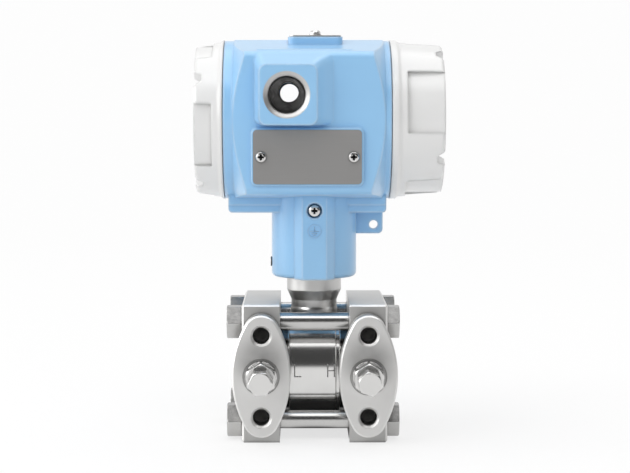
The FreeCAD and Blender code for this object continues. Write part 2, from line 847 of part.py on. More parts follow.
# Vents, along local Z out of the port, with the local origin on the floor of the port's face recess
def vent_plug(name, x):
    body = hexagon_prism(name, d.vent_hex_flats, d.vent_hex_end, d.hex_edge)
    outline = new_sketch(body, name + "_collar_outline", "XY_Plane")
    draw_circle(outline, 0, 0, d.vent_collar_radius)
    extrude(body, "Pad", name + "_collar", outline, d.vent_collar_length)
    thread = new_sketch(body, name + "_thread_outline", "XY_Plane")
    draw_circle(thread, 0, 0, d.port_thread_radius)
    thread_length = d.port_thread_depth - d.port_face_depth - d.vent_seat_room
    extrude(body, "Pad", name + "_thread", thread, thread_length, True)
    bore = new_sketch(body, name + "_bore_outline", "XY_Plane", (0, 0, d.vent_hex_end))
    draw_circle(bore, 0, 0, d.vent_bore_radius)
    extrude(body, "Pocket", name + "_bore", bore, d.vent_screw_length - d.vent_seat_room)
    nozzle = new_sketch(body, name + "_nozzle_outline", "XY_Plane", (0, 0, d.vent_hex_end))
    draw_circle(nozzle, 0, 0, d.vent_bore_radius / 2)
    extrude(body, "Pocket", name + "_nozzle", nozzle, d.vent_hex_end + d.port_thread_depth)
    return place(body, x, d.port_face_depth - port_face, cell_height, TO_FRONT)


def vent_screw(name, x, turn):
    """Hexagon head over a plain stem with a coned tip; the local origin is under the head."""
    stem = d.vent_bore_radius - d.fit_clearance
    stem_length = d.vent_screw_length - d.vent_seat_room - d.vent_tip_gap - d.fit_clearance
    head_length = d.vent_screw_end - d.vent_hex_end - d.fit_clearance
    body = hexagon_prism(name, d.vent_screw_flats, head_length, d.hex_edge)
    turn_profile(
        body,
        "Revolution",
        name + "_stem",
        [
            (0, -stem_length),
            (stem / 2, -stem_length),
            (stem, -stem_length + stem),
            (stem, PAST),
            (0, PAST),
        ],
    )
    body.Placement = FreeCAD.Placement(FreeCAD.Vector(), turn_about(*TO_FRONT) * turn_about(UPRIGHT, turn))
    return place(body, x, d.port_face_depth - port_face - d.vent_hex_end - d.fit_clearance, cell_height)


vent_plug_high = vent_plug("vent_plug_high", d.port_offset)
vent_plug_low = vent_plug("vent_plug_low", -d.port_offset)
vent_screw_high = vent_screw("vent_screw_high", d.port_offset, d.vent_screw_turn.value)
vent_screw_low = vent_screw("vent_screw_low", -d.port_offset, 30 + d.vent_screw_turn.value / 4)

# Neck adapter, turned, its foot fitted over the cell
adapter = new_body("neck_adapter")
adapter_top = d.neck_bottom + d.journal_length
lock_height = d.neck_bottom + d.lock_screw_rise
neck_seal_height = d.neck_bottom + d.neck_seal_rise
groove_bottom = lock_height - d.lock_groove_width / 2
groove_top = lock_height + d.lock_groove_width / 2
seal_depth = d.neck_seal_section * 2 + d.fit_clearance
seal_bottom = neck_seal_height - d.neck_seal_section - d.fit_clearance
seal_top = neck_seal_height + d.neck_seal_section + d.fit_clearance
foot_bottom = cell_height + d.cell_radius - d.foot_radius
turn_profile(
    adapter,
    "Revolution",
    "adapter_turned",
    [
        (0, foot_bottom),
        (d.foot_radius, foot_bottom),
        (d.foot_radius, d.foot_top),
        (d.waist_radius, d.foot_top + d.foot_edge),
        (d.waist_radius, d.waist_top),
        (d.journal_radius, d.collar_bottom),
        (d.journal_radius, groove_bottom),
        (d.journal_radius - d.lock_groove_depth, groove_bottom),
        (d.journal_radius - d.lock_groove_depth, groove_top),
        (d.journal_radius, groove_top),
        (d.journal_radius, seal_bottom),
        (d.journal_radius - seal_depth, seal_bottom),
        (d.journal_radius - seal_depth, seal_top),
        (d.journal_radius, seal_top),
        (d.journal_radius, adapter_top),
        (0, adapter_top),
    ],
)
turn_profile(
    adapter,
    "Groove",
    "adapter_saddle",
    [
        (-d.foot_radius - PAST, 0),
        (d.foot_radius + PAST, 0),
        (d.foot_radius + PAST, d.cell_radius),
        (-d.foot_radius - PAST, d.cell_radius),
    ],
    shift=(0, cell_height, 0),
    axis="H_Axis",
)
well = new_sketch(adapter, "sensor_well_outline", "XY_Plane", (0, 0, adapter_top))
draw_circle(well, 0, 0, d.sensor_well_radius)
extrude(adapter, "Pocket", "sensor_well", well, d.sensor_well_depth)
riser = new_sketch(adapter, "riser_outline", "XY_Plane", (0, 0, adapter_top))
draw_circle(riser, 0, 0, d.oil_bore_radius / 2)
extrude(adapter, "Pocket", "riser", riser, adapter_top - cell_height)

neck_seal = ring_seal("neck_o_ring", d.journal_radius - d.neck_seal_section, d.neck_seal_section)
place(neck_seal, 0, 0, neck_seal_height)

sensor = new_body("sensor_capsule")
turn_profile(
    sensor,
    "Revolution",
    "sensor_turned",
    [
        (0, 0),
        (d.sensor_well_radius, 0),
        (d.sensor_well_radius, d.sensor_base_height),
        (d.sensor_cap_radius, d.sensor_base_height),
        (d.sensor_cap_radius, d.sensor_height),
        (0, d.sensor_height),
    ],
)
place(sensor, 0, 0, adapter_top - d.sensor_well_depth)

# Housing casting, drawn about the drum axis
axis_height = d.drum_axis_height
body_half = d.drum_radius + d.body_rise
thread_bore_radius = d.drum_radius - d.drum_wall
cavity_radius = thread_bore_radius - d.thread_step
plinth_bottom = d.drum_radius + d.plinth_drop
lug_bottom = plinth_bottom + d.lug_drop
housing = new_body("housing")
# Whatever stands out of the drum starts inside its wall
drum_root = d.drum_radius - d.root_overlap
body_outline = new_sketch(housing, "body_outline", "YZ_Plane", (0, 0, -d.drum_left))
draw_polygon(
    body_outline,
    [
        (-d.crown_half, body_half),
        (-body_half, body_half - d.shoulder_fall_top),
        (-body_half, d.shoulder_fall_bottom - body_half),
        (-d.crown_half, -body_half),
        (d.crown_half, -body_half),
        (body_half, d.shoulder_fall_bottom - body_half),
        (body_half, body_half - d.shoulder_fall_top),
        (d.crown_half, body_half),
    ],
)
body_pad = extrude(housing, "Pad", "body_block", body_outline, d.drum_left + d.drum_right)
dress(
    housing,
    "Fillet",
    "body_corners",
    body_pad,
    d.body_corner_radius,
    lambda edge: edge_is_straight_along(edge, "X") and abs(edge.CenterOfMass.y) > body_half.value - PAST,
)
beyond_corners = body_half * math.sqrt(2)
bevel_run = (beyond_corners - d.drum_radius) / d.end_bevel_rise * d.end_bevel_run
drum_ends = (("left", -d.drum_left, 1, d.end_band_left), ("right", d.drum_right, -1, d.end_band_right))
for name, end, sign, band in drum_ends:
    turn_profile(
        housing,
        "Groove",
        f"end_bevel_{name}",
        [
            (end - sign * PAST, d.drum_radius),
            (end + sign * band, d.drum_radius),
            (end + sign * (band + bevel_run), beyond_corners),
            (end - sign * PAST, beyond_corners),
        ],
        axis="H_Axis",
    )

plinth = new_sketch(housing, "plinth_outline", "YZ_Plane", (0, 0, -d.plinth_left))
draw_polygon(
    plinth,
    [
        (-d.plinth_half_depth, -drum_root),
        (-d.plinth_half_depth, -d.drum_radius - d.plinth_lip),
        (-d.plinth_half_depth + d.plinth_lip_step, -d.drum_radius - d.plinth_lip),
        (-d.plinth_half_depth + d.plinth_lip_step, -plinth_bottom),
        (d.plinth_half_depth - d.plinth_lip_step, -plinth_bottom),
        (d.plinth_half_depth - d.plinth_lip_step, -d.drum_radius - d.plinth_lip),
        (d.plinth_half_depth, -d.drum_radius - d.plinth_lip),
        (d.plinth_half_depth, -drum_root),
    ],
)
plinth_pad = extrude(housing, "Pad", "plinth", plinth, d.plinth_left + d.plinth_right)
dress(
    housing,
    "Fillet",
    "plinth_corners",
    plinth_pad,
    d.plinth_edge,
    lambda edge: edge_is_straight_along(edge, "Y") and edge_lies_at(edge, "Z", -plinth_bottom),
)

lug = new_sketch(housing, "lug_outline", "XZ_Plane", (0, 0, -d.lug_back))
draw_polygon(
    lug,
    [
        (d.neck_radius - d.root_overlap, -lug_bottom),
        (d.lug_right, -lug_bottom),
        (d.lug_right, -plinth_bottom + PAST),
        (d.neck_radius - d.root_overlap, -plinth_bottom + PAST),
    ],
)
lug_pad = extrude(housing, "Pad", "lug", lug, d.lug_thickness)
dress(
    housing,
    "Fillet",
    "lug_corner",
    lug_pad,
    d.lug_corner_radius,
    lambda edge: edge_is_straight_along(edge, "Y")
    and near(edge.CenterOfMass.x, d.lug_right)
    and near(edge.CenterOfMass.z, -lug_bottom),
)

neck_drop = axis_height - d.neck_bottom
neck_outline = new_sketch(housing, "neck_outline", "XY_Plane", (0, 0, -neck_drop))
draw_circle(neck_outline, 0, 0, d.neck_radius)
neck_pad = extrude(housing, "Pad", "neck", neck_outline, neck_drop - drum_root)
dress(
    housing,
    "Fillet",
    "neck_edge_round",
    neck_pad,
    d.neck_edge,
    lambda edge: edge_lies_at(edge, "Z", -neck_drop),
)
rib_outline = new_sketch(housing, "rib_outline", "XY_Plane", (0, 0, -neck_drop))
draw_polygon(
    rib_outline,
    [
        (-d.rib_foot_half_width, d.root_overlap - d.rib_foot_front),
        (-d.rib_foot_half_width, -d.rib_foot_front),
        (-d.rib_half_width, -d.rib_front),
        (d.rib_half_width, -d.rib_front),
        (d.rib_foot_half_width, -d.rib_foot_front),
        (d.rib_foot_half_width, d.root_overlap - d.rib_foot_front),
    ],
)
extrude(housing, "Pad", "rib", rib_outline, neck_drop - drum_root)

boss_top = body_half + d.boss_rise
boss = new_sketch(housing, "key_boss_outline", "XY_Plane", (d.boss_centre, 0, drum_root))
draw_box(boss, d.boss_half_width, d.boss_half_depth)
boss_pad = extrude(housing, "Pad", "key_boss", boss, boss_top - drum_root)
dress(
    housing,
    "Fillet",
    "key_boss_corners",
    boss_pad,
    d.boss_corner_radius,
    lambda edge: edge_is_straight_along(edge, "Z")
    and near(abs(edge.CenterOfMass.y), d.boss_half_depth)
    and edge.CenterOfMass.z > drum_root.value,
)

plate_pad_face = body_half + d.plate_pad_rise
pad_half_width = d.plate_half_width + d.plate_pad_margin
pad_half_height = d.plate_half_height + d.plate_pad_margin
pad_root = body_half - d.root_overlap
plate_pad = new_sketch(
    housing, "plate_pad_outline", "XZ_Plane", (-d.plate_centre_offset, -d.plate_centre_drop, pad_root)
)
draw_box(plate_pad, pad_half_width, pad_half_height)
pad_feature = extrude(housing, "Pad", "plate_pad", plate_pad, plate_pad_face - pad_root)
pad_corners = dress(
    housing,
    "Fillet",
    "plate_pad_corners",
    pad_feature,
    d.plate_corner_radius + d.plate_pad_margin,
    lambda edge: edge_is_straight_along(edge, "Y") and near(edge.BoundBox.YMin, -plate_pad_face),
)
dress(
    housing,
    "Chamfer",
    "plate_pad_edge",
    pad_corners,
    d.plate_pad_edge,
    lambda edge: edge_lies_at(edge, "Y", -plate_pad_face),
)

# Conduit bosses: drafted blocks that rise to the shoulder, with a hollowed flank towards the display side
conduit_face = body_half + d.conduit_reach
conduit_rise = conduit_face - drum_root
for side, reach in (("front", 1), ("rear", -1)):
    sections = []
    # Share of the boss's depth, and of the flanks' spread, at the root, half way and at the face
    for level, depth, lean, hollow in (("root", 1, 1, 1), ("middle", 0.5, 0.5, 0.25), ("face", 0, 0, 0)):
        level_place = (-d.conduit_offset, d.conduit_height, reach * (conduit_face - conduit_rise * depth))
        section = new_sketch(housing, f"conduit_{side}_{level}", "XZ_Plane", level_place)
        draw_rounded(
            section,
            -d.conduit_half_width - d.conduit_left_spread * lean,
            -d.conduit_half_height,
            d.conduit_half_width + d.conduit_right_spread * hollow,
            d.conduit_half_height + d.conduit_root_rise * lean,
            d.conduit_corner_radius,
        )
        sections.append(section)
    if side == "rear":
        sections.reverse()
    loft = housing.newObject("PartDesign::AdditiveLoft", f"conduit_{side}")
    loft.Profile = sections[0]
    loft.Sections = sections[1:]

# Compartments, turned about the drum axis
partition_right = d.partition_thickness - d.partition_left
turn_profile(
    housing,
    "Groove",
    "terminal_room",
    [
        (-d.drum_left - PAST, 0),
        (-d.drum_left - PAST, thread_bore_radius),
        (-d.drum_left + d.thread_bore_depth, thread_bore_radius),
        (-d.drum_left + d.thread_bore_depth, cavity_radius),
        (-d.partition_left, cavity_radius),
        (-d.partition_left, 0),
    ],
    axis="H_Axis",
)
turn_profile(
    housing,
    "Groove",
    "electronics_room",
    [
        (partition_right, 0),
        (partition_right, cavity_radius),
        (d.drum_right - d.thread_bore_depth, cavity_radius),
        (d.drum_right - d.thread_bore_depth, thread_bore_radius),
        (d.drum_right + PAST, thread_bore_radius),
        (d.drum_right + PAST, 0),
    ],
    axis="H_Axis",
)
socket = new_sketch(housing, "neck_socket_outline", "XY_Plane", (0, 0, -neck_drop))
draw_circle(socket, 0, 0, d.journal_radius + d.fit_clearance)
extrude(housing, "Pocket", "neck_socket", socket, d.journal_length + d.socket_room, True)
cable_way = new_sketch(housing, "cable_way_outline", "XY_Plane", (d.cable_way_offset, 0, -neck_drop))
draw_circle(cable_way, 0, 0, d.cable_way_radius)
extrude(housing, "Pocket", "cable_way", cable_way, neck_drop - cavity_radius + d.root_overlap, True)

conduit_axis = d.conduit_offset + d.conduit_thread_shift
for side, sign in (("front", 1), ("rear", -1)):

    def from_conduit_face(depth):
        return sign * (depth - conduit_face)

    turn_profile(
        housing,
        "Groove",
        f"conduit_{side}_thread",
        [
            (from_conduit_face(-PAST), 0),
            (from_conduit_face(-PAST), d.conduit_mouth_radius),
            (from_conduit_face(0), d.conduit_mouth_radius),
            (from_conduit_face(d.conduit_mouth_depth), d.conduit_thread_radius),
            (from_conduit_face(d.conduit_thread_depth), d.conduit_thread_radius),
            (from_conduit_face(d.conduit_thread_depth), 0),
        ],
        plane="YZ_Plane",
        shift=(0, d.conduit_height, -conduit_axis),
        axis="H_Axis",
    )

# One drill opens both conduit floors into the terminal room
floor_reach = conduit_face - d.conduit_thread_depth
entry_place = (d.conduit_entry_shift - conduit_axis, d.conduit_height + d.conduit_entry_rise, floor_reach)
entries = new_sketch(housing, "conduit_entries_outline", "XZ_Plane", entry_place)
draw_circle(entries, 0, 0, d.conduit_entry_radius)
extrude(housing, "Pocket", "conduit_entries", entries, floor_reach * 2)

# Wells and screw holes of the casting
lug_hole = new_sketch(housing, "lug_hole_outline", "XZ_Plane", (0, 0, 0))
draw_circle(lug_hole, d.lug_hole_offset, -plinth_bottom - d.lug_hole_drop, d.lug_hole_radius)
extrude(housing, "Pocket", "lug_hole", lug_hole, d.lug_back + PAST)
key_places = [(d.boss_centre, d.key_middle + number * d.key_spacing) for number in (-1, 0, 1)]
key_wells = new_sketch(housing, "key_wells_outline", "XY_Plane", (0, 0, boss_top))
for across, up in key_places:
    draw_circle(key_wells, across, up, d.key_radius + d.key_clearance)
extrude(housing, "Pocket", "key_wells", key_wells, d.key_well_depth)
flap_hole = new_sketch(housing, "flap_hole_outline", "XY_Plane", (d.boss_centre, -d.flap_pivot, boss_top))
draw_circle(flap_hole, 0, 0, d.flap_screw_radius)
extrude(housing, "Pocket", "flap_hole", flap_hole, d.flap_screw_depth)
plate_place = (-d.plate_centre_offset, -d.plate_centre_drop, plate_pad_face)
plate_holes = new_sketch(housing, "plate_holes_outline", "XZ_Plane", plate_place)
for across in (-d.plate_screw_offset, d.plate_screw_offset):
    draw_circle(plate_holes, across, 0, d.plate_screw_radius)
extrude(housing, "Pocket", "plate_holes", plate_holes, d.plate_screw_length)
earth_place = (0, -d.earth_screw_drop, d.rib_front)
counterbore = new_sketch(housing, "earth_counterbore_outline", "XZ_Plane", earth_place)
draw_circle(counterbore, 0, 0, d.earth_counterbore_radius)
extrude(housing, "Pocket", "earth_counterbore", counterbore, d.earth_counterbore_depth)
earth_hole = new_sketch(housing, "earth_hole_outline", "XZ_Plane", earth_place)
draw_circle(earth_hole, 0, 0, d.earth_screw_radius)
extrude(housing, "Pocket", "earth_hole", earth_hole, d.earth_counterbore_depth + d.earth_screw_length)
lock_drop = axis_height - lock_height
lock_hole = new_sketch(housing, "lock_hole_outline", "YZ_Plane", (0, -lock_drop, -d.neck_radius - PAST))
draw_circle(lock_hole, 0, 0, d.lock_screw_radius)
extrude(housing, "Pocket", "lock_hole", lock_hole, d.neck_radius / 2, True)
block_half_width = cavity_radius - d.terminal_block_side_gap
block_foot = cavity_radius - d.terminal_block_foot_gap
block_screw_offset = block_half_width - d.block_screw_inset
block_screw_drop = block_foot - d.block_screw_rise
terminal_spacing = block_half_width / 2
earth_side = (cavity_radius - d.inner_earth_inset) / root(d.inner_earth_slope * d.inner_earth_slope + 1)
earth_rise = earth_side * d.inner_earth_slope
block_holes = new_sketch(housing, "block_holes_outline", "YZ_Plane", (0, 0, -d.partition_left))
hole_depth = d.block_screw_length - d.terminal_block_depth
for across in (-block_screw_offset, block_screw_offset):
    draw_circle(block_holes, across, -block_screw_drop, d.terminal_screw_radius)
draw_circle(block_holes, earth_side, earth_rise, d.terminal_screw_radius)
extrude(housing, "Pocket", "block_holes", block_holes, hole_depth, True)
module_radius = cavity_radius - d.module_gap
module_flat = module_radius - d.module_flat_drop
module_holes = new_sketch(housing, "module_holes_outline", "YZ_Plane", (0, 0, partition_right))
for across in (-module_flat, module_flat):
    draw_circle(module_holes, across, 0, d.terminal_screw_radius)
extrude(housing, "Pocket", "module_holes", module_holes, d.module_screw_length - d.module_depth)
place(housing, 0, 0, axis_height)

# Nameplate and its screws
plate = new_body("nameplate")
plate_sketch = new_sketch(plate, "nameplate_outline", "XZ_Plane", (0, 0, plate_pad_face))
draw_box(plate_sketch, d.plate_half_width, d.plate_half_height)
for across in (-d.plate_screw_offset, d.plate_screw_offset):
    draw_circle(plate_sketch, across, 0, d.plate_screw_radius)
sheet_pad = extrude(plate, "Pad", "nameplate_sheet", plate_sketch, d.plate_thickness)
dress(
    plate,
    "Fillet",
    "nameplate_corners",
    sheet_pad,
    d.plate_corner_radius,
    lambda edge: edge_is_straight_along(edge, "Y") and near(abs(edge.CenterOfMass.x), d.plate_half_width),
)
place(plate, -d.plate_centre_offset, 0, axis_height - d.plate_centre_drop)

plate_screw = pan_screw(
    "nameplate_screw_left",
    d.plate_screw_radius,
    d.plate_screw_length + d.plate_thickness,
    d.plate_screw_head_radius,
    d.plate_screw_head_height,
)
plate_front = -plate_pad_face - d.plate_thickness
plate_level = axis_height - d.plate_centre_drop
place(plate_screw, -d.plate_centre_offset - d.plate_screw_offset, plate_front, plate_level, TO_FRONT)
plate_screw_right = copy_of(
    plate_screw,
    "nameplate_screw_right",
    d.plate_screw_offset - d.plate_centre_offset,
    plate_front,
    plate_level,
    TO_FRONT,
)
nameplate_screws = group("nameplate_screws", [plate_screw, plate_screw_right])

# Earth screw and lock screw of the neck
earth_screw = pan_screw(
    "earth_screw",
    d.earth_screw_radius,
    d.earth_screw_length,
    d.earth_screw_head_radius,
    d.earth_screw_head_height,
)
place(earth_screw, 0, d.earth_counterbore_depth - d.rib_front, axis_height - d.earth_screw_drop, TO_FRONT)

lock_screw = new_body("neck_lock_screw")
lock_tip = d.journal_radius - d.lock_groove_depth + d.lock_screw_tip_gap
lock_length = d.neck_radius + d.lock_screw_proud - lock_tip
turn_profile(
    lock_screw,
    "Revolution",
    "lock_screw_turned",
    [
        (0, 0),
        (d.lock_screw_radius, 0),
        (d.lock_screw_radius, -lock_length + 1),
        (d.lock_screw_radius - 1, -lock_length),
        (0, -lock_length),
    ],
)
lock_socket = new_sketch(lock_screw, "lock_socket_outline", "XY_Plane")
draw_hexagon(lock_socket, d.lock_screw_socket_flats)
extrude(lock_screw, "Pocket", "lock_socket", lock_socket, d.lock_screw_socket_flats)
place(lock_screw, -d.neck_radius - d.lock_screw_proud, 0, lock_height, TO_LEFT)

# Keys, springs and flap of the top boss
well_floor = axis_height + boss_top - d.key_well_depth
key_base = axis_height + boss_top - d.key_sink - d.key_height


def key(name, across, up):
    body = new_body(name)
    outline = new_sketch(body, name + "_outline", "XY_Plane")
    draw_circle(outline, 0, 0, d.key_radius)
    cap = extrude(body, "Pad", name + "_cap", outline, d.key_height)
    top_edge = partial(edge_lies_at, letter="Z", level=d.key_height)
    dress(body, "Fillet", name + "_edge", cap, d.key_edge, top_edge)
    return place(body, across, up, key_base)


def key_spring(name, across, up):
    """Coil between the well floor and the key, its six-sided wire swept round a helix."""
    room = key_base - well_floor
    rise = room - d.spring_wire_radius * 2 - d.fit_clearance * 2
    helix = doc.addObject("Part::Helix", name + "_path")
    bind(helix, "Pitch", rise / d.spring_turns)
    bind(helix, "Height", rise)
    bind(helix, "Radius", d.spring_radius)
    wire = doc.addObject("Part::RegularPolygon", name + "_wire")
    wire.Polygon = 6
    bind(wire, "Circumradius", d.spring_wire_radius)
    wire.Placement = FreeCAD.Placement(FreeCAD.Vector(), FreeCAD.Rotation(FreeCAD.Vector(1, 0, 0), 90))
    bind(wire, "Placement.Base.x", d.spring_radius)
    coil = doc.addObject("Part::Sweep", name)
    coil.Sections = [wire]
    coil.Spine = (helix, [])
    coil.Solid = True
    coil.Frenet = True
    return place(coil, across, up, well_floor + d.spring_wire_radius + d.fit_clearance)


KEY_NAMES = ("front", "middle", "rear")
keys = [key(f"key_{name}", *where) for name, where in zip(KEY_NAMES, key_places)]
springs = [key_spring(f"key_spring_{name}", *where) for name, where in zip(KEY_NAMES, key_places)]

flap = new_body("key_flap")
flap_sketch = new_sketch(flap, "flap_outline", "XY_Plane", (0, d.flap_pivot, 0))
draw_box(flap_sketch, d.flap_half_width, d.flap_half_depth)
flap_pad = extrude(flap, "Pad", "flap_sheet", flap_sketch, d.flap_thickness)
upright_edge = partial(edge_is_straight_along, letter="Z")
dress(flap, "Fillet", "flap_corners", flap_pad, d.flap_corner_radius, upright_edge)
flap_eye = new_sketch(flap, "flap_eye_outline", "XY_Plane", (0, 0, d.flap_thickness))
draw_circle(flap_eye, 0, 0, d.flap_screw_shoulder_radius + d.fit_clearance)
extrude(flap, "Pocket", "flap_eye", flap_eye, d.flap_thickness)
flap_level = axis_height + boss_top + d.flap_gap
place(flap, d.boss_centre, -d.flap_pivot, flap_level)

shoulder_length = d.flap_gap * 2 + d.flap_thickness
washer_level = axis_height + boss_top + shoulder_length
flap_washer = new_body("flap_washer")
washer_outline = new_sketch(flap_washer, "flap_washer_outline", "XY_Plane")
draw_circle(washer_outline, 0, 0, d.flap_washer_radius)
draw_circle(washer_outline, 0, 0, d.flap_screw_radius)
extrude(flap_washer, "Pad", "flap_washer_ring", washer_outline, d.flap_washer_thickness)
place(flap_washer, d.boss_centre, -d.flap_pivot, washer_level)

flap_screw = new_body("flap_screw")
stack = shoulder_length + d.flap_washer_thickness
turn_profile(
    flap_screw,
    "Revolution",
    "flap_screw_turned",
    [
        (0, -stack - d.flap_screw_depth),
        (d.flap_screw_radius, -stack - d.flap_screw_depth),
        (d.flap_screw_radius, -stack),
        (d.flap_screw_shoulder_radius, -stack),
        (d.flap_screw_shoulder_radius, -d.flap_washer_thickness),
        (d.flap_screw_radius, -d.flap_washer_thickness),
        (d.flap_screw_radius, 0),
        *head_outline(d.flap_screw_head_radius, d.flap_screw_head_height),
    ],
)
head_recess(flap_screw, "flap_screw_recess", d.flap_screw_head_height)
place(flap_screw, d.boss_centre, -d.flap_pivot, washer_level + d.flap_washer_thickness)

# Terminal block against the partition, drawn about the drum axis
terminal_block = new_body("terminal_block")
block_face = new_sketch(terminal_block, "block_outline", "YZ_Plane", (0, 0, -d.partition_left))
draw_polygon(
    block_face,
    [
        (-block_half_width, d.terminal_block_top),
        (-block_half_width, -d.terminal_block_shoulder),
        (-d.terminal_block_foot_half_width, -block_foot),
        (d.terminal_block_foot_half_width, -block_foot),
        (block_half_width, -d.terminal_block_shoulder),
        (block_half_width, d.terminal_block_top),
    ],
)
for across in (-block_screw_offset, block_screw_offset):
    draw_circle(block_face, across, -block_screw_drop, d.terminal_screw_radius)
extrude(terminal_block, "Pad", "block_moulding", block_face, d.terminal_block_depth, True)
terminal_face = -d.partition_left - d.terminal_block_depth
wells = new_sketch(terminal_block, "terminal_wells_outline", "YZ_Plane", (0, 0, terminal_face))
for number in (-1, 0, 1):
    across = number * terminal_spacing
    draw_polygon(
        wells,
        [
            (across - d.terminal_well_half, -d.terminal_drop - d.terminal_well_half),
            (across + d.terminal_well_half, -d.terminal_drop - d.terminal_well_half),
            (across + d.terminal_well_half, d.terminal_block_top + PAST),
            (across - d.terminal_well_half, d.terminal_block_top + PAST),
        ],
    )
extrude(terminal_block, "Pocket", "terminal_wells", wells, d.terminal_well_depth, True)
screw_seats = new_sketch(terminal_block, "terminal_holes_outline", "YZ_Plane", (0, 0, terminal_face))
for number in (-1, 0, 1):
    draw_circle(screw_seats, number * terminal_spacing, -d.terminal_drop, d.terminal_screw_radius)
seat_depth = d.terminal_well_depth + d.terminal_screw_length
extrude(terminal_block, "Pocket", "terminal_holes", screw_seats, seat_depth, True)
place(terminal_block, 0, 0, axis_height)


def terminal_size_screw(name, length):
    head = (d.terminal_screw_head_radius, d.terminal_screw_head_height)
    return pan_screw(name, d.terminal_screw_radius, length, *head)


def screw_row(name, length, places, turn):
    """Like screws in one group, each at its (x, y, z)."""
    first = terminal_size_screw(name + "_1", length)
    place(first, *places[0], turn)
    others = [copy_of(first, f"{name}_{number}", *where, turn) for number, where in enumerate(places[1:], 2)]
    return group(name + "s", [first] + others)


terminal_screws = screw_row(
    "terminal_screw",
    d.terminal_screw_length,
    [
        (
            terminal_face + d.terminal_well_depth,
            number * terminal_spacing,
            axis_height - d.terminal_drop,
        )
        for number in (-1, 0, 1)
    ],
    TO_LEFT,
)
block_screws = screw_row(
    "terminal_block_screw",
    d.block_screw_length,
    [
        (terminal_face, -block_screw_offset, axis_height - block_screw_drop),
        (terminal_face, block_screw_offset, axis_height - block_screw_drop),
    ],
    TO_LEFT,
)
inner_earth = terminal_size_screw("inner_earth_screw", hole_depth)
place(inner_earth, -d.partition_left, earth_side, axis_height + earth_rise, TO_LEFT)

# Electronics module and display, turned about local Z towards the display cover
module = new_body("electronics_module")
turn_profile(
    module,
    "Revolution",
    "module_turned",
    [
        (0, 0),
        (module_radius, 0),
        (module_radius, d.module_depth - d.module_edge),
        (module_radius - d.module_edge, d.module_depth),
        (0, d.module_depth),
    ],
)
module_trim = new_sketch(module, "module_flat_outline", "XY_Plane")
draw_polygon(
    module_trim,
    [
        (module_flat, -module_radius - PAST),
        (module_radius + PAST, -module_radius - PAST),
        (module_radius + PAST, module_radius + PAST),
        (module_flat, module_radius + PAST),
    ],
)
extrude(module, "Pocket", "module_flat", module_trim, d.module_depth, True)
module_bolts = new_sketch(module, "module_bolts_outline", "XY_Plane")
for up in (-module_flat, module_flat):
    draw_circle(module_bolts, 0, up, d.terminal_screw_radius)
extrude(module, "Pocket", "module_bolts", module_bolts, d.module_depth, True)
place(module, partition_right, 0, axis_height, TO_RIGHT)
module_face = partition_right + d.module_depth
module_screws = screw_row(
    "module_screw",
    d.module_screw_length,
    [(module_face, -module_flat, axis_height), (module_face, module_flat, axis_height)],
    TO_RIGHT,
)

cover_inner_radius = thread_bore_radius - d.cover_spigot_wall
display_radius = cover_inner_radius - d.display_gap
display_top = d.display_stem_length + d.display_depth
display = new_body("display_module")
turn_profile(
    display,
    "Revolution",
    "display_turned",
    [
        (0, 0),
        (d.display_stem_radius, 0),
        (d.display_stem_radius, d.display_stem_length),
        (display_radius, d.display_stem_length),
        (display_radius, display_top - d.display_edge),
        (display_radius - d.display_edge, display_top),
        (0, display_top),
    ],
)
lcd_seat = new_sketch(display, "lcd_seat_outline", "XY_Plane", (0, 0, display_top))
draw_box(lcd_seat, d.lcd_half_height, d.lcd_half_width)
extrude(display, "Pocket", "lcd_seat", lcd_seat, d.lcd_recess)
place(display, module_face, 0, axis_height, TO_RIGHT)

lcd = new_body("display_lcd")
lcd_outline = new_sketch(lcd, "lcd_outline", "XY_Plane")
draw_box(lcd_outline, d.lcd_half_height, d.lcd_half_width)
extrude(lcd, "Pad", "lcd_sheet", lcd_outline, d.lcd_thickness)
place(lcd, module_face + display_top - d.lcd_recess, 0, axis_height, TO_RIGHT)


# Covers, turned about local Z, which points out of the housing; the local origin is on the drum's end
cover_ring_radius = d.drum_radius + d.cover_ring_rise
cover_skirt_radius = cover_ring_radius - d.cover_skirt_step
cover_end_radius = cover_skirt_radius - d.cover_skirt_draft


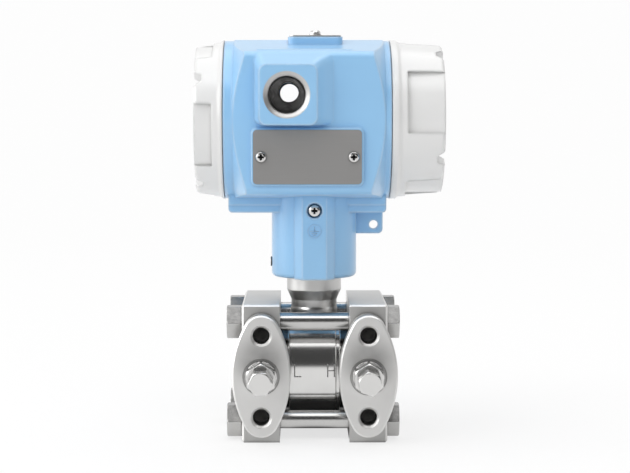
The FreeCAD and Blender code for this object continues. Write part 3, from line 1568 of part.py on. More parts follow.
def cover(name, length, ring, inside):
    """Screw cover: spigot, seal groove, ring, tapered skirt, notched rim and four sunk panels."""
    body = new_body(name)
    thread = thread_bore_radius - d.fit_clearance
    groove = thread - d.cover_seal_section * 2 - d.fit_clearance
    rim_inner = cover_end_radius - d.rim_width
    outside = [
        (cover_inner_radius, -d.cover_spigot_length),
        (thread, -d.cover_spigot_length),
        (thread, -d.cover_seal_groove),
        (groove, -d.cover_seal_groove),
        (groove, d.cover_gap),
        (cover_ring_radius, d.cover_gap),
        (cover_ring_radius, ring - d.cover_ring_edge),
        (cover_skirt_radius, ring),
        (cover_end_radius, length - d.cover_edge),
        (cover_end_radius - d.cover_edge, length),
        (rim_inner, length),
        (rim_inner - d.rim_draft, length - d.rim_height),
    ]
    turn_profile(body, "Revolution", name + "_turned", outside + inside)

    panel = new_sketch(body, name + "_panel_outline", "XY_Plane", (0, 0, ring + d.panel_margin))
    floor = cover_end_radius - d.panel_depth
    reach = cover_ring_radius + PAST
    edge_in = root(floor * floor - d.panel_half_width * d.panel_half_width)
    angle = math.asin(d.panel_half_width.value / floor.value)
    draw_panel_sector(panel, floor, edge_in, reach, angle)
    panel_cut = extrude(body, "Pocket", name + "_panel", panel, length, True)
    panels = body.newObject("PartDesign::PolarPattern", name + "_panels")
    panels.Originals = [panel_cut]
    panels.Axis = (panel, ["N_Axis"])
    panels.Angle = 360
    bind(panels, "Occurrences", d.panel_count)
    body.Tip = panels

    notch_start = rim_inner - d.rim_width / 2
    notch_flare = d.notch_mouth_half + (d.notch_mouth_half - d.notch_floor_half) / d.notch_depth * PAST
    notch = new_sketch(body, name + "_notch_outline", "YZ_Plane", (0, length, notch_start))
    draw_polygon(
        notch,
        [
            (-notch_flare, PAST),
            (-d.notch_floor_half, -d.notch_depth),
            (d.notch_floor_half, -d.notch_depth),
            (notch_flare, PAST),
        ],
    )
    notch_cut = extrude(body, "Pocket", name + "_notch", notch, d.rim_width * 2, True)
    notches = body.newObject("PartDesign::PolarPattern", name + "_notches")
    notches.Originals = [notch_cut]
    notches.Axis = (panel, ["N_Axis"])
    notches.Angle = 360
    bind(notches, "Occurrences", d.panel_count)
    body.Tip = notches
    return body


def draw_panel_sector(sketch, floor, edge_in, reach, angle):
    """Draws a sunk panel between two notches: an arc floor about the cover axis with straight sides."""
    # The panel is centred half a step from the notch direction, which is local +X.
    half_step = math.pi / d.panel_count.value
    cosine = math.cos(half_step)
    sine = math.sin(half_step)

    def turned(out, side):
        return (out * cosine - side * sine, out * sine + side * cosine)

    corners = [
        turned(edge_in, -d.panel_half_width),
        turned(reach, -d.panel_half_width),
        turned(reach, d.panel_half_width),
        turned(edge_in, d.panel_half_width),
    ]
    points = [FreeCAD.Vector(x.value, y.value, 0) for x, y in corners]
    for start, end in zip(points, points[1:]):
        sketch.addGeometry(Part.LineSegment(start, end))
    circle = Part.Circle(FreeCAD.Vector(), FreeCAD.Vector(0, 0, 1), floor.value)
    sketch.addGeometry(Part.ArcOfCircle(circle, half_step - angle, half_step + angle))
    for number, (x, y) in enumerate(corners[:3]):
        hold_point(sketch, number, 1, x, y)
    hold(sketch, "DistanceX", corners[3][0], -1, 1, 2, 2)
    sketch.addConstraint(Sketcher.Constraint("Coincident", 0, 2, 1, 1))
    sketch.addConstraint(Sketcher.Constraint("Coincident", 1, 2, 2, 1))
    sketch.addConstraint(Sketcher.Constraint("Coincident", 3, 3, -1, 1))
    sketch.addConstraint(Sketcher.Constraint("Coincident", 3, 1, 0, 1))
    sketch.addConstraint(Sketcher.Constraint("Coincident", 3, 2, 2, 2))


def cover_place(body, x, base_turn, about_own_axis):
    rotation = turn_about(*base_turn) * turn_about(UPRIGHT, about_own_axis)
    body.Placement = FreeCAD.Placement(FreeCAD.Vector(), rotation)
    return place(body, x, 0, axis_height)


terminal_floor = d.terminal_cover_length - d.rim_height
terminal_cover = cover(
    "terminal_cover",
    d.terminal_cover_length,
    d.terminal_cover_ring,
    [
        (0, terminal_floor),
        (0, terminal_floor - d.cover_wall),
        (cover_inner_radius, terminal_floor - d.cover_wall),
    ],
)
cover_place(terminal_cover, -d.drum_left, TO_LEFT, 45 - SIZES["terminal_cover_turn"])

display_floor = d.display_cover_length - d.rim_height
glass_radius = d.window_radius + d.glass_seat
glass_top = display_floor - d.window_lip
glass_bottom = glass_top - d.glass_thickness
ring_bottom = glass_bottom - d.window_ring_thickness
display_cover = cover(
    "display_cover",
    d.display_cover_length,
    d.display_cover_ring,
    [
        (d.window_radius, display_floor),
        (d.window_radius, glass_top),
        (glass_radius, glass_top),
        (glass_radius, ring_bottom),
        (cover_inner_radius, ring_bottom),
    ],
)
cover_place(display_cover, d.drum_right, TO_RIGHT, 45 - SIZES["display_cover_turn"])

glass = new_body("window_glass")
glass_outline = new_sketch(glass, "glass_outline", "XY_Plane", (0, 0, glass_bottom))
draw_circle(glass_outline, 0, 0, glass_radius)
extrude(glass, "Pad", "glass_disc", glass_outline, d.glass_thickness)
place(glass, d.drum_right, 0, axis_height, TO_RIGHT)
window_ring = new_body("window_ring")
ring_outline = new_sketch(window_ring, "window_ring_outline", "XY_Plane", (0, 0, ring_bottom))
draw_circle(ring_outline, 0, 0, glass_radius)
draw_circle(ring_outline, 0, 0, d.window_radius + d.window_ring_seat)
extrude(window_ring, "Pad", "window_ring_turned", ring_outline, d.window_ring_thickness)
place(window_ring, d.drum_right, 0, axis_height, TO_RIGHT)

seal_centre = thread_bore_radius - d.fit_clearance - d.cover_seal_section
seal_offset = (d.cover_seal_groove - d.cover_gap) / 2
terminal_seal = ring_seal("terminal_o_ring", seal_centre, d.cover_seal_section)
place(terminal_seal, seal_offset - d.drum_left, 0, axis_height, TO_LEFT)
display_seal = ring_seal("display_o_ring", seal_centre, d.cover_seal_section)
place(display_seal, d.drum_right - seal_offset, 0, axis_height, TO_RIGHT)

NODES = [
    flange,
    flange_low,
    flange_bolts,
    flange_nuts,
    cell,
    diaphragm_high,
    diaphragm_low,
    overload,
    gasket_high,
    gasket_low,
    vent_plug_high,
    vent_plug_low,
    vent_screw_high,
    vent_screw_low,
    adapter,
    neck_seal,
    sensor,
    housing,
    plate,
    nameplate_screws,
    earth_screw,
    lock_screw,
    *keys,
    *springs,
    flap,
    flap_washer,
    flap_screw,
    terminal_block,
    terminal_screws,
    block_screws,
    inner_earth,
    module,
    module_screws,
    display,
    lcd,
    terminal_cover,
    display_cover,
    glass,
    window_ring,
    terminal_seal,
    display_seal,
]

# Checks, then one file for each piece
doc.recompute()
for thing in doc.Objects:
    if "Invalid" in thing.State or "Error" in thing.State:
        raise RuntimeError(f"{thing.Name} is in state {thing.State}")
for body in (thing for thing in doc.Objects if thing.TypeId == "PartDesign::Body"):
    before = None
    for feature in body.Group:
        if not feature.isDerivedFrom("PartDesign::Feature"):
            continue
        volume = feature.Shape.Volume
        if before is not None and near(volume, before):
            raise RuntimeError(f"{feature.Name} changes nothing")
        before = volume
os.makedirs("parts", exist_ok=True)
for node in NODES:
    shape = node.Shape
    if shape.isNull() or not shape.isValid() or not shape.Solids:
        raise RuntimeError(f"{node.Label} has no valid solid")
    shape.exportStep(f"parts/{node.Label}.step")
print(len(NODES), "nodes written")
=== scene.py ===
import json
import math

import bmesh
import bpy
from mathutils import Euler, Matrix, Vector


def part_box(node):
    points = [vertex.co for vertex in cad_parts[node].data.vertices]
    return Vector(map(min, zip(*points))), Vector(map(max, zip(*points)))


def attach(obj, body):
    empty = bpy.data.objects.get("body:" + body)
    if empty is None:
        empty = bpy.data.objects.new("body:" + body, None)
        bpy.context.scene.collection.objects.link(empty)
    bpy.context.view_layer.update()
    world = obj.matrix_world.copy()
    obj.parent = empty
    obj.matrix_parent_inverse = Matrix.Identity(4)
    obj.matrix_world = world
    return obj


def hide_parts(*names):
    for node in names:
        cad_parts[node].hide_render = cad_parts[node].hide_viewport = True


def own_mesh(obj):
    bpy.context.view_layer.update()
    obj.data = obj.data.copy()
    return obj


bl_info = {
    "name": "Differential Pressure Transmitter",
    "version": (1, 0, 0),
    "blender": (4, 5, 0),
    "location": "3D View > Sidebar > Transmitter",
    "description": "Dresses a differential pressure transmitter and builds the studio round it",
    "category": "Object",
}

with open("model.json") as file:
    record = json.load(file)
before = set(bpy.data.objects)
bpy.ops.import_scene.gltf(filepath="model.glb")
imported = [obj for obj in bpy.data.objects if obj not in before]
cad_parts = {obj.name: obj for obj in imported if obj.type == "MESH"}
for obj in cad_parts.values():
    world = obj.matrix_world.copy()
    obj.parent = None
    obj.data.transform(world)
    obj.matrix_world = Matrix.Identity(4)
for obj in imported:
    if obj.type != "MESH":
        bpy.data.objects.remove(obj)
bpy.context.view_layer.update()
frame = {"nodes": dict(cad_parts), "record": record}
MM = 0.001

# Places read from the solid model, in metres
MOUNTS = {mount["name"]: mount for mount in frame["record"]["mounts"]}
CONDUITS = [MOUNTS[name] for name in ("conduit_front", "conduit_rear")]
PORTS = [MOUNTS[name] for name in ("process_port_high", "process_port_low")]
FIXINGS = [mount for name, mount in MOUNTS.items() if name.startswith("fixing_")]
DRUM_HEIGHT = sum(corner.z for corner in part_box("terminal_o_ring")) / 2
CELL_HEIGHT = sum(corner.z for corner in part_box("gasket_high")) / 2
CELL_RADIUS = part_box("measuring_cell")[1].y
RIB_FRONT = -0.0262
COVER_FACES = (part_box("terminal_o_ring")[0].x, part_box("display_o_ring")[1].x)
COVER_BORE = 0.034
PLATE_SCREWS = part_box("nameplate_screws")
EARTH_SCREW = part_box("earth_screw")
FLANGE_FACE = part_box("flange_high")[0].y + 0.0008
FLAP_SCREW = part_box("flap_screw")
# The painted shade in the screw recesses: its radius, the radius of its core, and the depths where it starts
# and ends
RECESS_RADIUS = 0.0017
RECESS_CORE = 0.00095
RECESS_SHADE = 0.0004
RECESS_DEPTH = 0.0013


class StudioSettings(bpy.types.PropertyGroup):
    camera_place: bpy.props.FloatVectorProperty(
        name="Camera Place",
        description="Where the camera stands",
        default=(-0.00839, -0.94397, 0.16879),
        subtype="TRANSLATION",
        unit="LENGTH",
    )
    camera_yaw: bpy.props.FloatProperty(
        name="Camera Yaw",
        description="Turn of the camera to the right of straight ahead",
        default=math.radians(0.54),
        subtype="ANGLE",
        unit="ROTATION",
    )
    camera_pitch: bpy.props.FloatProperty(
        name="Camera Pitch",
        description="Tilt of the camera below the horizontal",
        default=math.radians(4.02),
        subtype="ANGLE",
        unit="ROTATION",
    )
    focal_length: bpy.props.FloatProperty(
        name="Focal Length",
        description="Focal length in millimetres on a 36 mm wide film",
        default=102.857,
        min=20,
        max=300,
    )
    backdrop_distance: bpy.props.FloatProperty(
        name="Backdrop Distance",
        description="How far behind the object the floor turns up into the backdrop",
        default=1.4,
        min=0.5,
        unit="LENGTH",
        subtype="DISTANCE",
    )
    floor_whiteness: bpy.props.FloatProperty(
        name="Floor Whiteness",
        description="Share of plain white that the camera sees in the floor",
        default=0.96,
        min=0,
        max=1,
        subtype="FACTOR",
    )
    shadow_share: bpy.props.FloatProperty(
        name="Shadow Share",
        description="How much more the camera sees of the shadow close round the object",
        default=0.25,
        min=0,
        max=1,
        subtype="FACTOR",
    )
    floor_gleam: bpy.props.FloatProperty(
        name="Floor Gleam",
        description="Share of plain white that metal and glass see in the floor away from the object",
        default=0.85,
        min=0,
        max=1,
        subtype="FACTOR",
    )
    # Painted dark reflection on the floor to the front left and front right, seen only by metal
    wedge_darkness: bpy.props.FloatProperty(
        name="Wedge Darkness",
        description="How dark metal sees the floor to the front left and front right",
        default=0.6,
        min=0,
        max=1,
        subtype="FACTOR",
    )
    key_power: bpy.props.FloatProperty(
        name="Key Power",
        description="Power of the large soft light at the front left",
        default=13.5,
        min=0,
        unit="POWER",
    )
    fill_power: bpy.props.FloatProperty(
        name="Fill Power",
        description="Power of the soft light at the front",
        default=8.5,
        min=0,
        unit="POWER",
    )
    side_power: bpy.props.FloatProperty(
        name="Side Power",
        description="Power of the soft light at the left",
        default=6.0,
        min=0,
        unit="POWER",
    )
    top_power: bpy.props.FloatProperty(
        name="Top Power",
        description="Power of the soft light overhead",
        default=11.5,
        min=0,
        unit="POWER",
    )
    wall_shine: bpy.props.FloatProperty(
        name="Wall Shine",
        description="How much brighter gloss sees the wall at the left",
        default=2.2,
        min=0,
    )
    ceiling_shine: bpy.props.FloatProperty(
        name="Ceiling Shine",
        description="How much brighter gloss sees the ceiling",
        default=1.0,
        min=0,
    )
    sky_level: bpy.props.FloatProperty(
        name="Sky Level",
        description="Strength of the light that comes from all round",
        default=0.6,
        min=0,
        max=2,
    )


class CoatingSettings(bpy.types.PropertyGroup):
    blue: bpy.props.FloatVectorProperty(
        name="Blue",
        description="Colour of the coated housing",
        default=(0.285, 0.545, 0.82),
        size=3,
        min=0,
        max=1,
        subtype="COLOR",
    )
    white: bpy.props.FloatVectorProperty(
        name="White",
        description="Colour of the coated screw covers",
        default=(0.745, 0.745, 0.74),
        size=3,
        min=0,
        max=1,
        subtype="COLOR",
    )
    roughness: bpy.props.FloatProperty(
        name="Roughness",
        description="Roughness of both coatings",
        default=0.3,
        min=0,
        max=1,
        subtype="FACTOR",
    )
    gloss: bpy.props.FloatProperty(
        name="Gloss",
        description="Weight of the clear layer over both coatings",
        default=0.5,
        min=0,
        max=1,
        subtype="FACTOR",
    )
    peel_size: bpy.props.FloatProperty(
        name="Peel Size",
        description="Width of the soft waves that the powder leaves",
        default=0.0013,
        min=0.0001,
        unit="LENGTH",
        subtype="DISTANCE",
    )
    peel_height: bpy.props.FloatProperty(
        name="Peel Height",
        description="Height of the soft waves that the powder leaves",
        default=0.000012,
        min=0,
        precision=6,
        unit="LENGTH",
        subtype="DISTANCE",
    )
    # Painted highlight: the coat colour is made paler on the outer edges, where they catch the light
    painted_edge_light: bpy.props.FloatProperty(
        name="Painted Edge Light",
        description="How much lighter the powder is on the outer edges, where it lies thin",
        default=0.7,
        min=0,
        max=1,
        subtype="FACTOR",
    )
    sheen: bpy.props.FloatProperty(
        name="Sheen",
        description="Weight of the pale bloom of the powder at grazing light",
        default=0.2,
        min=0,
        max=1,
        subtype="FACTOR",
    )
    # Painted shade: within this reach of a corner the coat colour is made deeper, where shade falls
    painted_shade_reach: bpy.props.FloatProperty(
        name="Painted Shade Reach",
        description="How far out of a corner the powder looks deeper",
        default=0.003,
        min=0,
        precision=4,
        unit="LENGTH",
        subtype="DISTANCE",
    )
    # Painted shade: how much deeper the coat colour is made in the corners
    painted_corner_shade: bpy.props.FloatProperty(
        name="Painted Corner Shade",
        description="How much deeper the colour is in the corners",
        default=0.5,
        min=0,
        max=1,
        subtype="FACTOR",
    )
    edge_radius: bpy.props.FloatProperty(
        name="Edge Radius",
        description="Radius at which the cast edges look rounded",
        default=0.0022,
        min=0,
        precision=4,
        unit="LENGTH",
        subtype="DISTANCE",
    )


class MetalSettings(bpy.types.PropertyGroup):
    steel: bpy.props.FloatVectorProperty(
        name="Steel",
        description="Colour of the stainless pieces",
        default=(0.66, 0.655, 0.645),
        size=3,
        min=0,
        max=1,
        subtype="COLOR",
    )
    plate: bpy.props.FloatVectorProperty(
        name="Plate",
        description="Colour of the blank nameplate",
        default=(0.285, 0.28, 0.275),
        size=3,
        min=0,
        max=1,
        subtype="COLOR",
    )
    edge_radius: bpy.props.FloatProperty(
        name="Edge Radius",
        description="Radius at which the machined edges look broken",
        default=0.0006,
        min=0,
        precision=4,
        unit="LENGTH",
        subtype="DISTANCE",
    )
    # Painted shade: within this reach of a corner the steel is made darker, where shade falls
    painted_shade_reach: bpy.props.FloatProperty(
        name="Painted Shade Reach",
        description="How far out of a corner the dark film of a seam reaches",
        default=0.002,
        min=0,
        precision=4,
        unit="LENGTH",
        subtype="DISTANCE",
    )
    # Painted highlight: the steel is made brighter on the outer edges, where they catch the light
    painted_edge_shine: bpy.props.FloatProperty(
        name="Painted Edge Shine",
        description="How bright the outer edges are",
        default=0.8,
        min=0,
        max=1,
        subtype="FACTOR",
    )
    # Painted shade: how dark the steel is made in the seams
    painted_seam_darkness: bpy.props.FloatProperty(
        name="Painted Seam Shade",
        description="Darkness of the film in the seams",
        default=0.75,
        min=0,
        max=1,
        subtype="FACTOR",
    )
    grain_height: bpy.props.FloatProperty(
        name="Grain Height",
        description="Height of the tool marks",
        default=0.000004,
        min=0,
        precision=6,
        unit="LENGTH",
        subtype="DISTANCE",
    )


class MarkSettings(bpy.types.PropertyGroup):
    letter_height: bpy.props.FloatProperty(
        name="Letter Height",
        description="Height of the H and L side marks",
        default=0.0068,
        unit="LENGTH",
        subtype="DISTANCE",
    )
    letter_offset: bpy.props.FloatProperty(
        name="Letter Offset",
        description="Distance of the side marks from the middle of the cell",
        default=0.0085,
        unit="LENGTH",
        subtype="DISTANCE",
    )
    stroke: bpy.props.FloatProperty(
        name="Stroke",
        description="Width of the strokes of the side marks",
        default=0.0006,
        precision=4,
        unit="LENGTH",
        subtype="DISTANCE",
    )
    earth_radius: bpy.props.FloatProperty(
        name="Earth Mark Radius",
        description="Radius of the raised earth mark on the neck",
        default=0.0036,
        precision=4,
        unit="LENGTH",
        subtype="DISTANCE",
    )
    earth_height: bpy.props.FloatProperty(
        name="Earth Mark Height",
        description="Height of the middle of the earth mark",
        default=0.1069,
        precision=4,
        unit="LENGTH",
        subtype="DISTANCE",
    )


class ThreadSettings(bpy.types.PropertyGroup):
    conduit_pitch: bpy.props.FloatProperty(
        name="Conduit Pitch",
        description="Pitch of the thread in the conduit entries",
        default=0.0015,
        precision=4,
        unit="LENGTH",
        subtype="DISTANCE",
    )
    mount_pitch: bpy.props.FloatProperty(
        name="Fixing Pitch",
        description="Pitch of the thread in the fixing holes of the flanges",
        default=0.0015,
        precision=4,
        unit="LENGTH",
        subtype="DISTANCE",
    )
    port_pitch: bpy.props.FloatProperty(
        name="Port Pitch",
        description="Pitch of the thread in the process ports",
        default=0.00141,
        precision=5,
        unit="LENGTH",
        subtype="DISTANCE",
    )
    ridge: bpy.props.FloatProperty(
        name="Ridge",
        description="Height of a thread ridge over its pitch",
        default=0.28,
        min=0,
        max=1,
        subtype="FACTOR",
    )


class SpringSettings(bpy.types.PropertyGroup):
    wire_radius: bpy.props.FloatProperty(
        name="Wire Radius",
        description="Radius of the wire of the key springs",
        default=0.00025,
        precision=5,
        unit="LENGTH",
        subtype="DISTANCE",
    )
    turns: bpy.props.FloatProperty(
        name="Turns",
        description="Turns of a key spring, with its flat ends",
        default=4.0,
        min=1,
    )
    travel: bpy.props.FloatProperty(
        name="Travel",
        description="How far a key presses its spring",
        default=0.0012,
        precision=4,
        unit="LENGTH",
        subtype="DISTANCE",
    )


class TransmitterSettings(bpy.types.PropertyGroup):
    studio: bpy.props.PointerProperty(type=StudioSettings)
    coating: bpy.props.PointerProperty(type=CoatingSettings)
    metal: bpy.props.PointerProperty(type=MetalSettings)
    marks: bpy.props.PointerProperty(type=MarkSettings)
    threads: bpy.props.PointerProperty(type=ThreadSettings)
    springs: bpy.props.PointerProperty(type=SpringSettings)


class Wire:
    """A shader value. Python's operators on it add the Math nodes."""

    def __init__(self, graph, socket):
        self.graph = graph
        self.socket = socket

    def __add__(self, other):
        return self.graph.maths("ADD", self, other)

    def __radd__(self, other):
        return self.graph.maths("ADD", other, self)

    def __sub__(self, other):
        return self.graph.maths("SUBTRACT", self, other)

    def __rsub__(self, other):
        return self.graph.maths("SUBTRACT", other, self)

    def __mul__(self, other):
        return self.graph.maths("MULTIPLY", self, other)

    def __rmul__(self, other):
        return self.graph.maths("MULTIPLY", other, self)

    def __truediv__(self, other):
        return self.graph.maths("DIVIDE", self, other)

    def __pow__(self, other):
        return self.graph.maths("POWER", self, other)

    def __lt__(self, other):
        return self.graph.maths("LESS_THAN", self, other)

    def __gt__(self, other):
        return self.graph.maths("GREATER_THAN", self, other)

    def __abs__(self):
        return self.graph.maths("ABSOLUTE", self)


class Graph:
    """The nodes of one material or of the world."""

    def __init__(self, tree):
        self.tree = tree

    def node(self, kind, settings=None, values=None, output=0):
        """Adds a node of a type with its settings, fills its sockets and returns one of its outputs."""
        made = self.tree.nodes.new(kind)
        for name, value in (settings or {}).items():
            if name == "stops":
                self.set_stops(made.color_ramp, value)
            else:
                setattr(made, name, value)
        for socket, value in (values or {}).items():
            self.feed(made.inputs[socket], value)
        return Wire(self, made.outputs[output])

    def set_stops(self, ramp, stops):
        while len(ramp.elements) < len(stops):
            ramp.elements.new(1)
        for element, (position, colour) in zip(ramp.elements, stops):
            element.position = position
            element.color = colour

    def feed(self, socket, value):
        if isinstance(value, Wire):
            self.tree.links.new(value.socket, socket)
        else:
            socket.default_value = value

    def maths(self, operation, *terms):
        return self.node("ShaderNodeMath", {"operation": operation}, dict(enumerate(terms)))

    def limit(self, value):
        """Keeps a value between 0 and 1."""
        return self.node("ShaderNodeClamp", {}, {0: value})

    def mix(self, mask, first, second):
        settings = {"data_type": "RGBA"}
        return self.node("ShaderNodeMix", settings, {0: mask, 6: rgba(first), 7: rgba(second)}, output=2)

    def ramp(self, value, low, high):
        """0 below low, 1 above high, smooth between."""
        settings = {"interpolation_type": "SMOOTHSTEP"}
        return self.node("ShaderNodeMapRange", settings, {0: value, 1: low, 2: high, 3: 0.0, 4: 1.0})

    def ray(self, kind):
        """1 for one kind of ray."""
        return self.node("ShaderNodeLightPath", output=f"Is {kind} Ray")

    def position(self):
        """The place of a point on the object, in metres, as x, y and z."""
        place = self.node("ShaderNodeTexCoord", output="Object")
        split = self.tree.nodes.new("ShaderNodeSeparateXYZ")
        self.feed(split.inputs[0], place)
        return [Wire(self, socket) for socket in split.outputs]

    def facing(self):
        """The direction that the surface faces on its own object, as x, y and z, so it turns with a body."""
        split = self.tree.nodes.new("ShaderNodeSeparateXYZ")
        self.feed(split.inputs[0], self.node("ShaderNodeTexCoord", output="Normal"))
        return [Wire(self, socket) for socket in split.outputs]

    def noise(self, size, stretch=(1, 1, 1), detail=2.0, offset=0.0):
        """Cloudy variation with patches of about the given size, drawn out along the axes."""
        place = self.node("ShaderNodeTexCoord", output="Object")
        scale = [1 / (size * factor) if factor else 0 for factor in stretch]
        moved = self.node("ShaderNodeMapping", {}, {0: place, "Location": (offset,) * 3, "Scale": scale})
        return self.node("ShaderNodeTexNoise", {}, {"Vector": moved, "Scale": 1.0, "Detail": detail})


class Finish(Graph):
    """A material with one Principled shader."""

    def __init__(self, name, colour, roughness, metallic=0.0, **constants):
        self.material = bpy.data.materials.new(name)
        self.material.use_nodes = True
        super().__init__(self.material.node_tree)
        self.shader = self.tree.nodes["Principled BSDF"]
        self.put("Base Color", rgba(colour))
        self.put("Roughness", roughness)
        self.put("Metallic", metallic)
        for socket, value in constants.items():
            self.put(socket.replace("_", " "), value)

    def put(self, socket, value):
        self.feed(self.shader.inputs[socket], value)

    def seams(self, reach):
        """1 in the open, falling to 0 in the corners and seams within a reach in metres."""
        return self.node("ShaderNodeAmbientOcclusion", {"samples": 6}, {"Distance": reach}, output=1)

    def softened(self, radius):
        """The surface's direction with its edges rounded to a radius."""
        return self.node("ShaderNodeBevel", {"samples": 6}, {"Radius": radius})

    def edges(self, softened, openness):
        """1 on the outer edges, where the rounded direction leaves the flat one in the open."""
        flat = self.node("ShaderNodeNewGeometry", output="Normal")
        values = {0: softened, 1: flat}
        agreement = self.node("ShaderNodeVectorMath", {"operation": "DOT_PRODUCT"}, values, output=1)
        return (1 - self.ramp(agreement, 0.8, 0.99)) * self.ramp(openness, 0.75, 0.95)

    def relief(self, height, depth, softened):
        """Bumps the surface by a height from 0 to 1 of some depth in metres, on a softened direction."""
        values = {"Height": height, "Distance": depth, "Strength": 1.0, "Normal": softened}
        self.put("Normal", self.node("ShaderNodeBump", {}, values))


def rgba(colour):
    if isinstance(colour, Wire) or len(colour) == 4:
        return colour
    return (*colour, 1.0)


def shaded(colour, factor):
    return tuple(channel * factor for channel in colour)


# Finishes
def coating(name, colour, settings, bare=None):
    """Powder coat with a faint orange peel.

    bare gives the masks of the spots that are machined to the metal and of the threads among them,
    which are painted dark as shade, the mask of their painted glints, and the height of a thread.
    """
    finish = Finish(name, colour, settings.roughness, Coat_Roughness=0.2, Sheen_Roughness=0.4)
    finish.put("Coat Weight", settings.gloss)
    finish.put("Sheen Weight", settings.sheen)
    clouds = finish.noise(0.018, detail=3)
    softened = finish.softened(settings.edge_radius)
    openness = finish.seams(settings.painted_shade_reach)
    tint = finish.mix(clouds, shaded(colour, 0.975), shaded(colour, 1.015))
    # Painted shade: in corners and seams the coat is mixed towards a deeper copy of its colour
    corner_shade_colour = tuple(channel**1.8 for channel in colour)
    pale = tuple(1 - (1 - channel) * 0.5 for channel in colour)
    tint = finish.mix((1 - openness) * settings.painted_corner_shade, tint, corner_shade_colour)
    # Painted highlight: on the outer edges the coat is mixed towards a paler copy of its colour
    tint = finish.mix(finish.edges(softened, openness) * settings.painted_edge_light, tint, pale)
    roughness = settings.roughness - 0.03 + clouds * 0.06
    peel = finish.noise(settings.peel_size)
    if bare:
        metal, threads, painted_glints, height = bare(finish)
        tint = finish.mix(metal, tint, (0.56, 0.555, 0.55))
        # Painted shade and glints: the threads are made near black, lightened where the glints are
        tint = finish.mix(threads, tint, finish.mix(painted_glints, (0.05, 0.05, 0.05), (0.5, 0.495, 0.49)))
        roughness = roughness + metal * 0.15
        peel = peel + height
        finish.put("Metallic", metal)
        finish.put("Coat Weight", (1 - metal) * settings.gloss)
    finish.put("Base Color", tint)
    finish.put("Roughness", roughness)
    finish.relief(peel, settings.peel_height, softened)
    return finish.material


def conduit_mouths(finish):
    """The machined seats of the conduit entries, with painted shade and painted glints on the threads inside
    them.
    """
    x, y, z = finish.position()
    centre_x, _, centre_z = CONDUITS[0]["pos_m"]
    seat_radius = 0.0117
    thread_radius = 0.0094
    cavity_half = 0.0345
    radius = ((x - centre_x) ** 2 + (z - centre_z) ** 2) ** 0.5
    outside = abs(y) > cavity_half
    # Painted glints: rings round the entry's axis, broken up by noise
    rings = finish.maths("PINGPONG", radius / 0.0007, 0.5) * 2
    painted_thread_glint = rings * finish.noise(0.003, detail=2)
    return (radius < seat_radius) * outside, (radius < thread_radius) * outside, painted_thread_glint, 0.0


def cover_spigots(finish):
    """The bare threaded spigots of the screw covers, inboard of their rims."""
    pitch = 0.0015
    depth = 20.0
    x, y, z = finish.position()
    radius = (y**2 + (z - DRUM_HEIGHT) ** 2) ** 0.5
    inboard = (x > COVER_FACES[0]) * (x < COVER_FACES[1])
    turn = finish.maths("ARCTAN2", y, z - DRUM_HEIGHT) / math.tau
    wave = finish.maths("PINGPONG", x / pitch + turn + 100, 0.5)
    bare = inboard * (radius > COVER_BORE)
    return bare, 0.0, 0.0, bare * wave * depth


def painted_recess_shade(finish):
    """Painted shade in the driver recesses of the screws in the plate, the neck and the flap, also over the
    middle of the plate and neck screw heads.
    """
    x, y, z = finish.position()
    plate = (y > PLATE_SCREWS[0].y + RECESS_SHADE) * (y < PLATE_SCREWS[0].y + RECESS_DEPTH)
    across = abs(x - (PLATE_SCREWS[0].x + PLATE_SCREWS[1].x) / 2)
    level = (PLATE_SCREWS[0].z + PLATE_SCREWS[1].z) / 2
    spacing = (PLATE_SCREWS[1].x - PLATE_SCREWS[0].x) / 2 - (PLATE_SCREWS[1].z - PLATE_SCREWS[0].z) / 2
    from_screw = ((across - spacing) ** 2 + (z - level) ** 2) ** 0.5
    core = (y < PLATE_SCREWS[0].y + RECESS_DEPTH) * (from_screw < RECESS_CORE)
    on_plate = plate * (from_screw < RECESS_RADIUS) + core
    neck = (y > EARTH_SCREW[0].y + RECESS_SHADE) * (y < EARTH_SCREW[0].y + RECESS_DEPTH)
    neck_level = (EARTH_SCREW[0].z + EARTH_SCREW[1].z) / 2
    from_axis = (x**2 + (z - neck_level) ** 2) ** 0.5
    core = (y < EARTH_SCREW[0].y + RECESS_DEPTH) * (from_axis < RECESS_CORE)
    on_neck = neck * (from_axis < RECESS_RADIUS) + core
    flap = (z < FLAP_SCREW[1].z - RECESS_SHADE) * (z > FLAP_SCREW[1].z - RECESS_DEPTH)
    flap_x, flap_y = ((FLAP_SCREW[0][axis] + FLAP_SCREW[1][axis]) / 2 for axis in (0, 1))
    on_flap = ((x - flap_x) ** 2 + (y - flap_y) ** 2) ** 0.5 < RECESS_RADIUS
    return finish.limit(on_plate + on_neck + flap * on_flap)


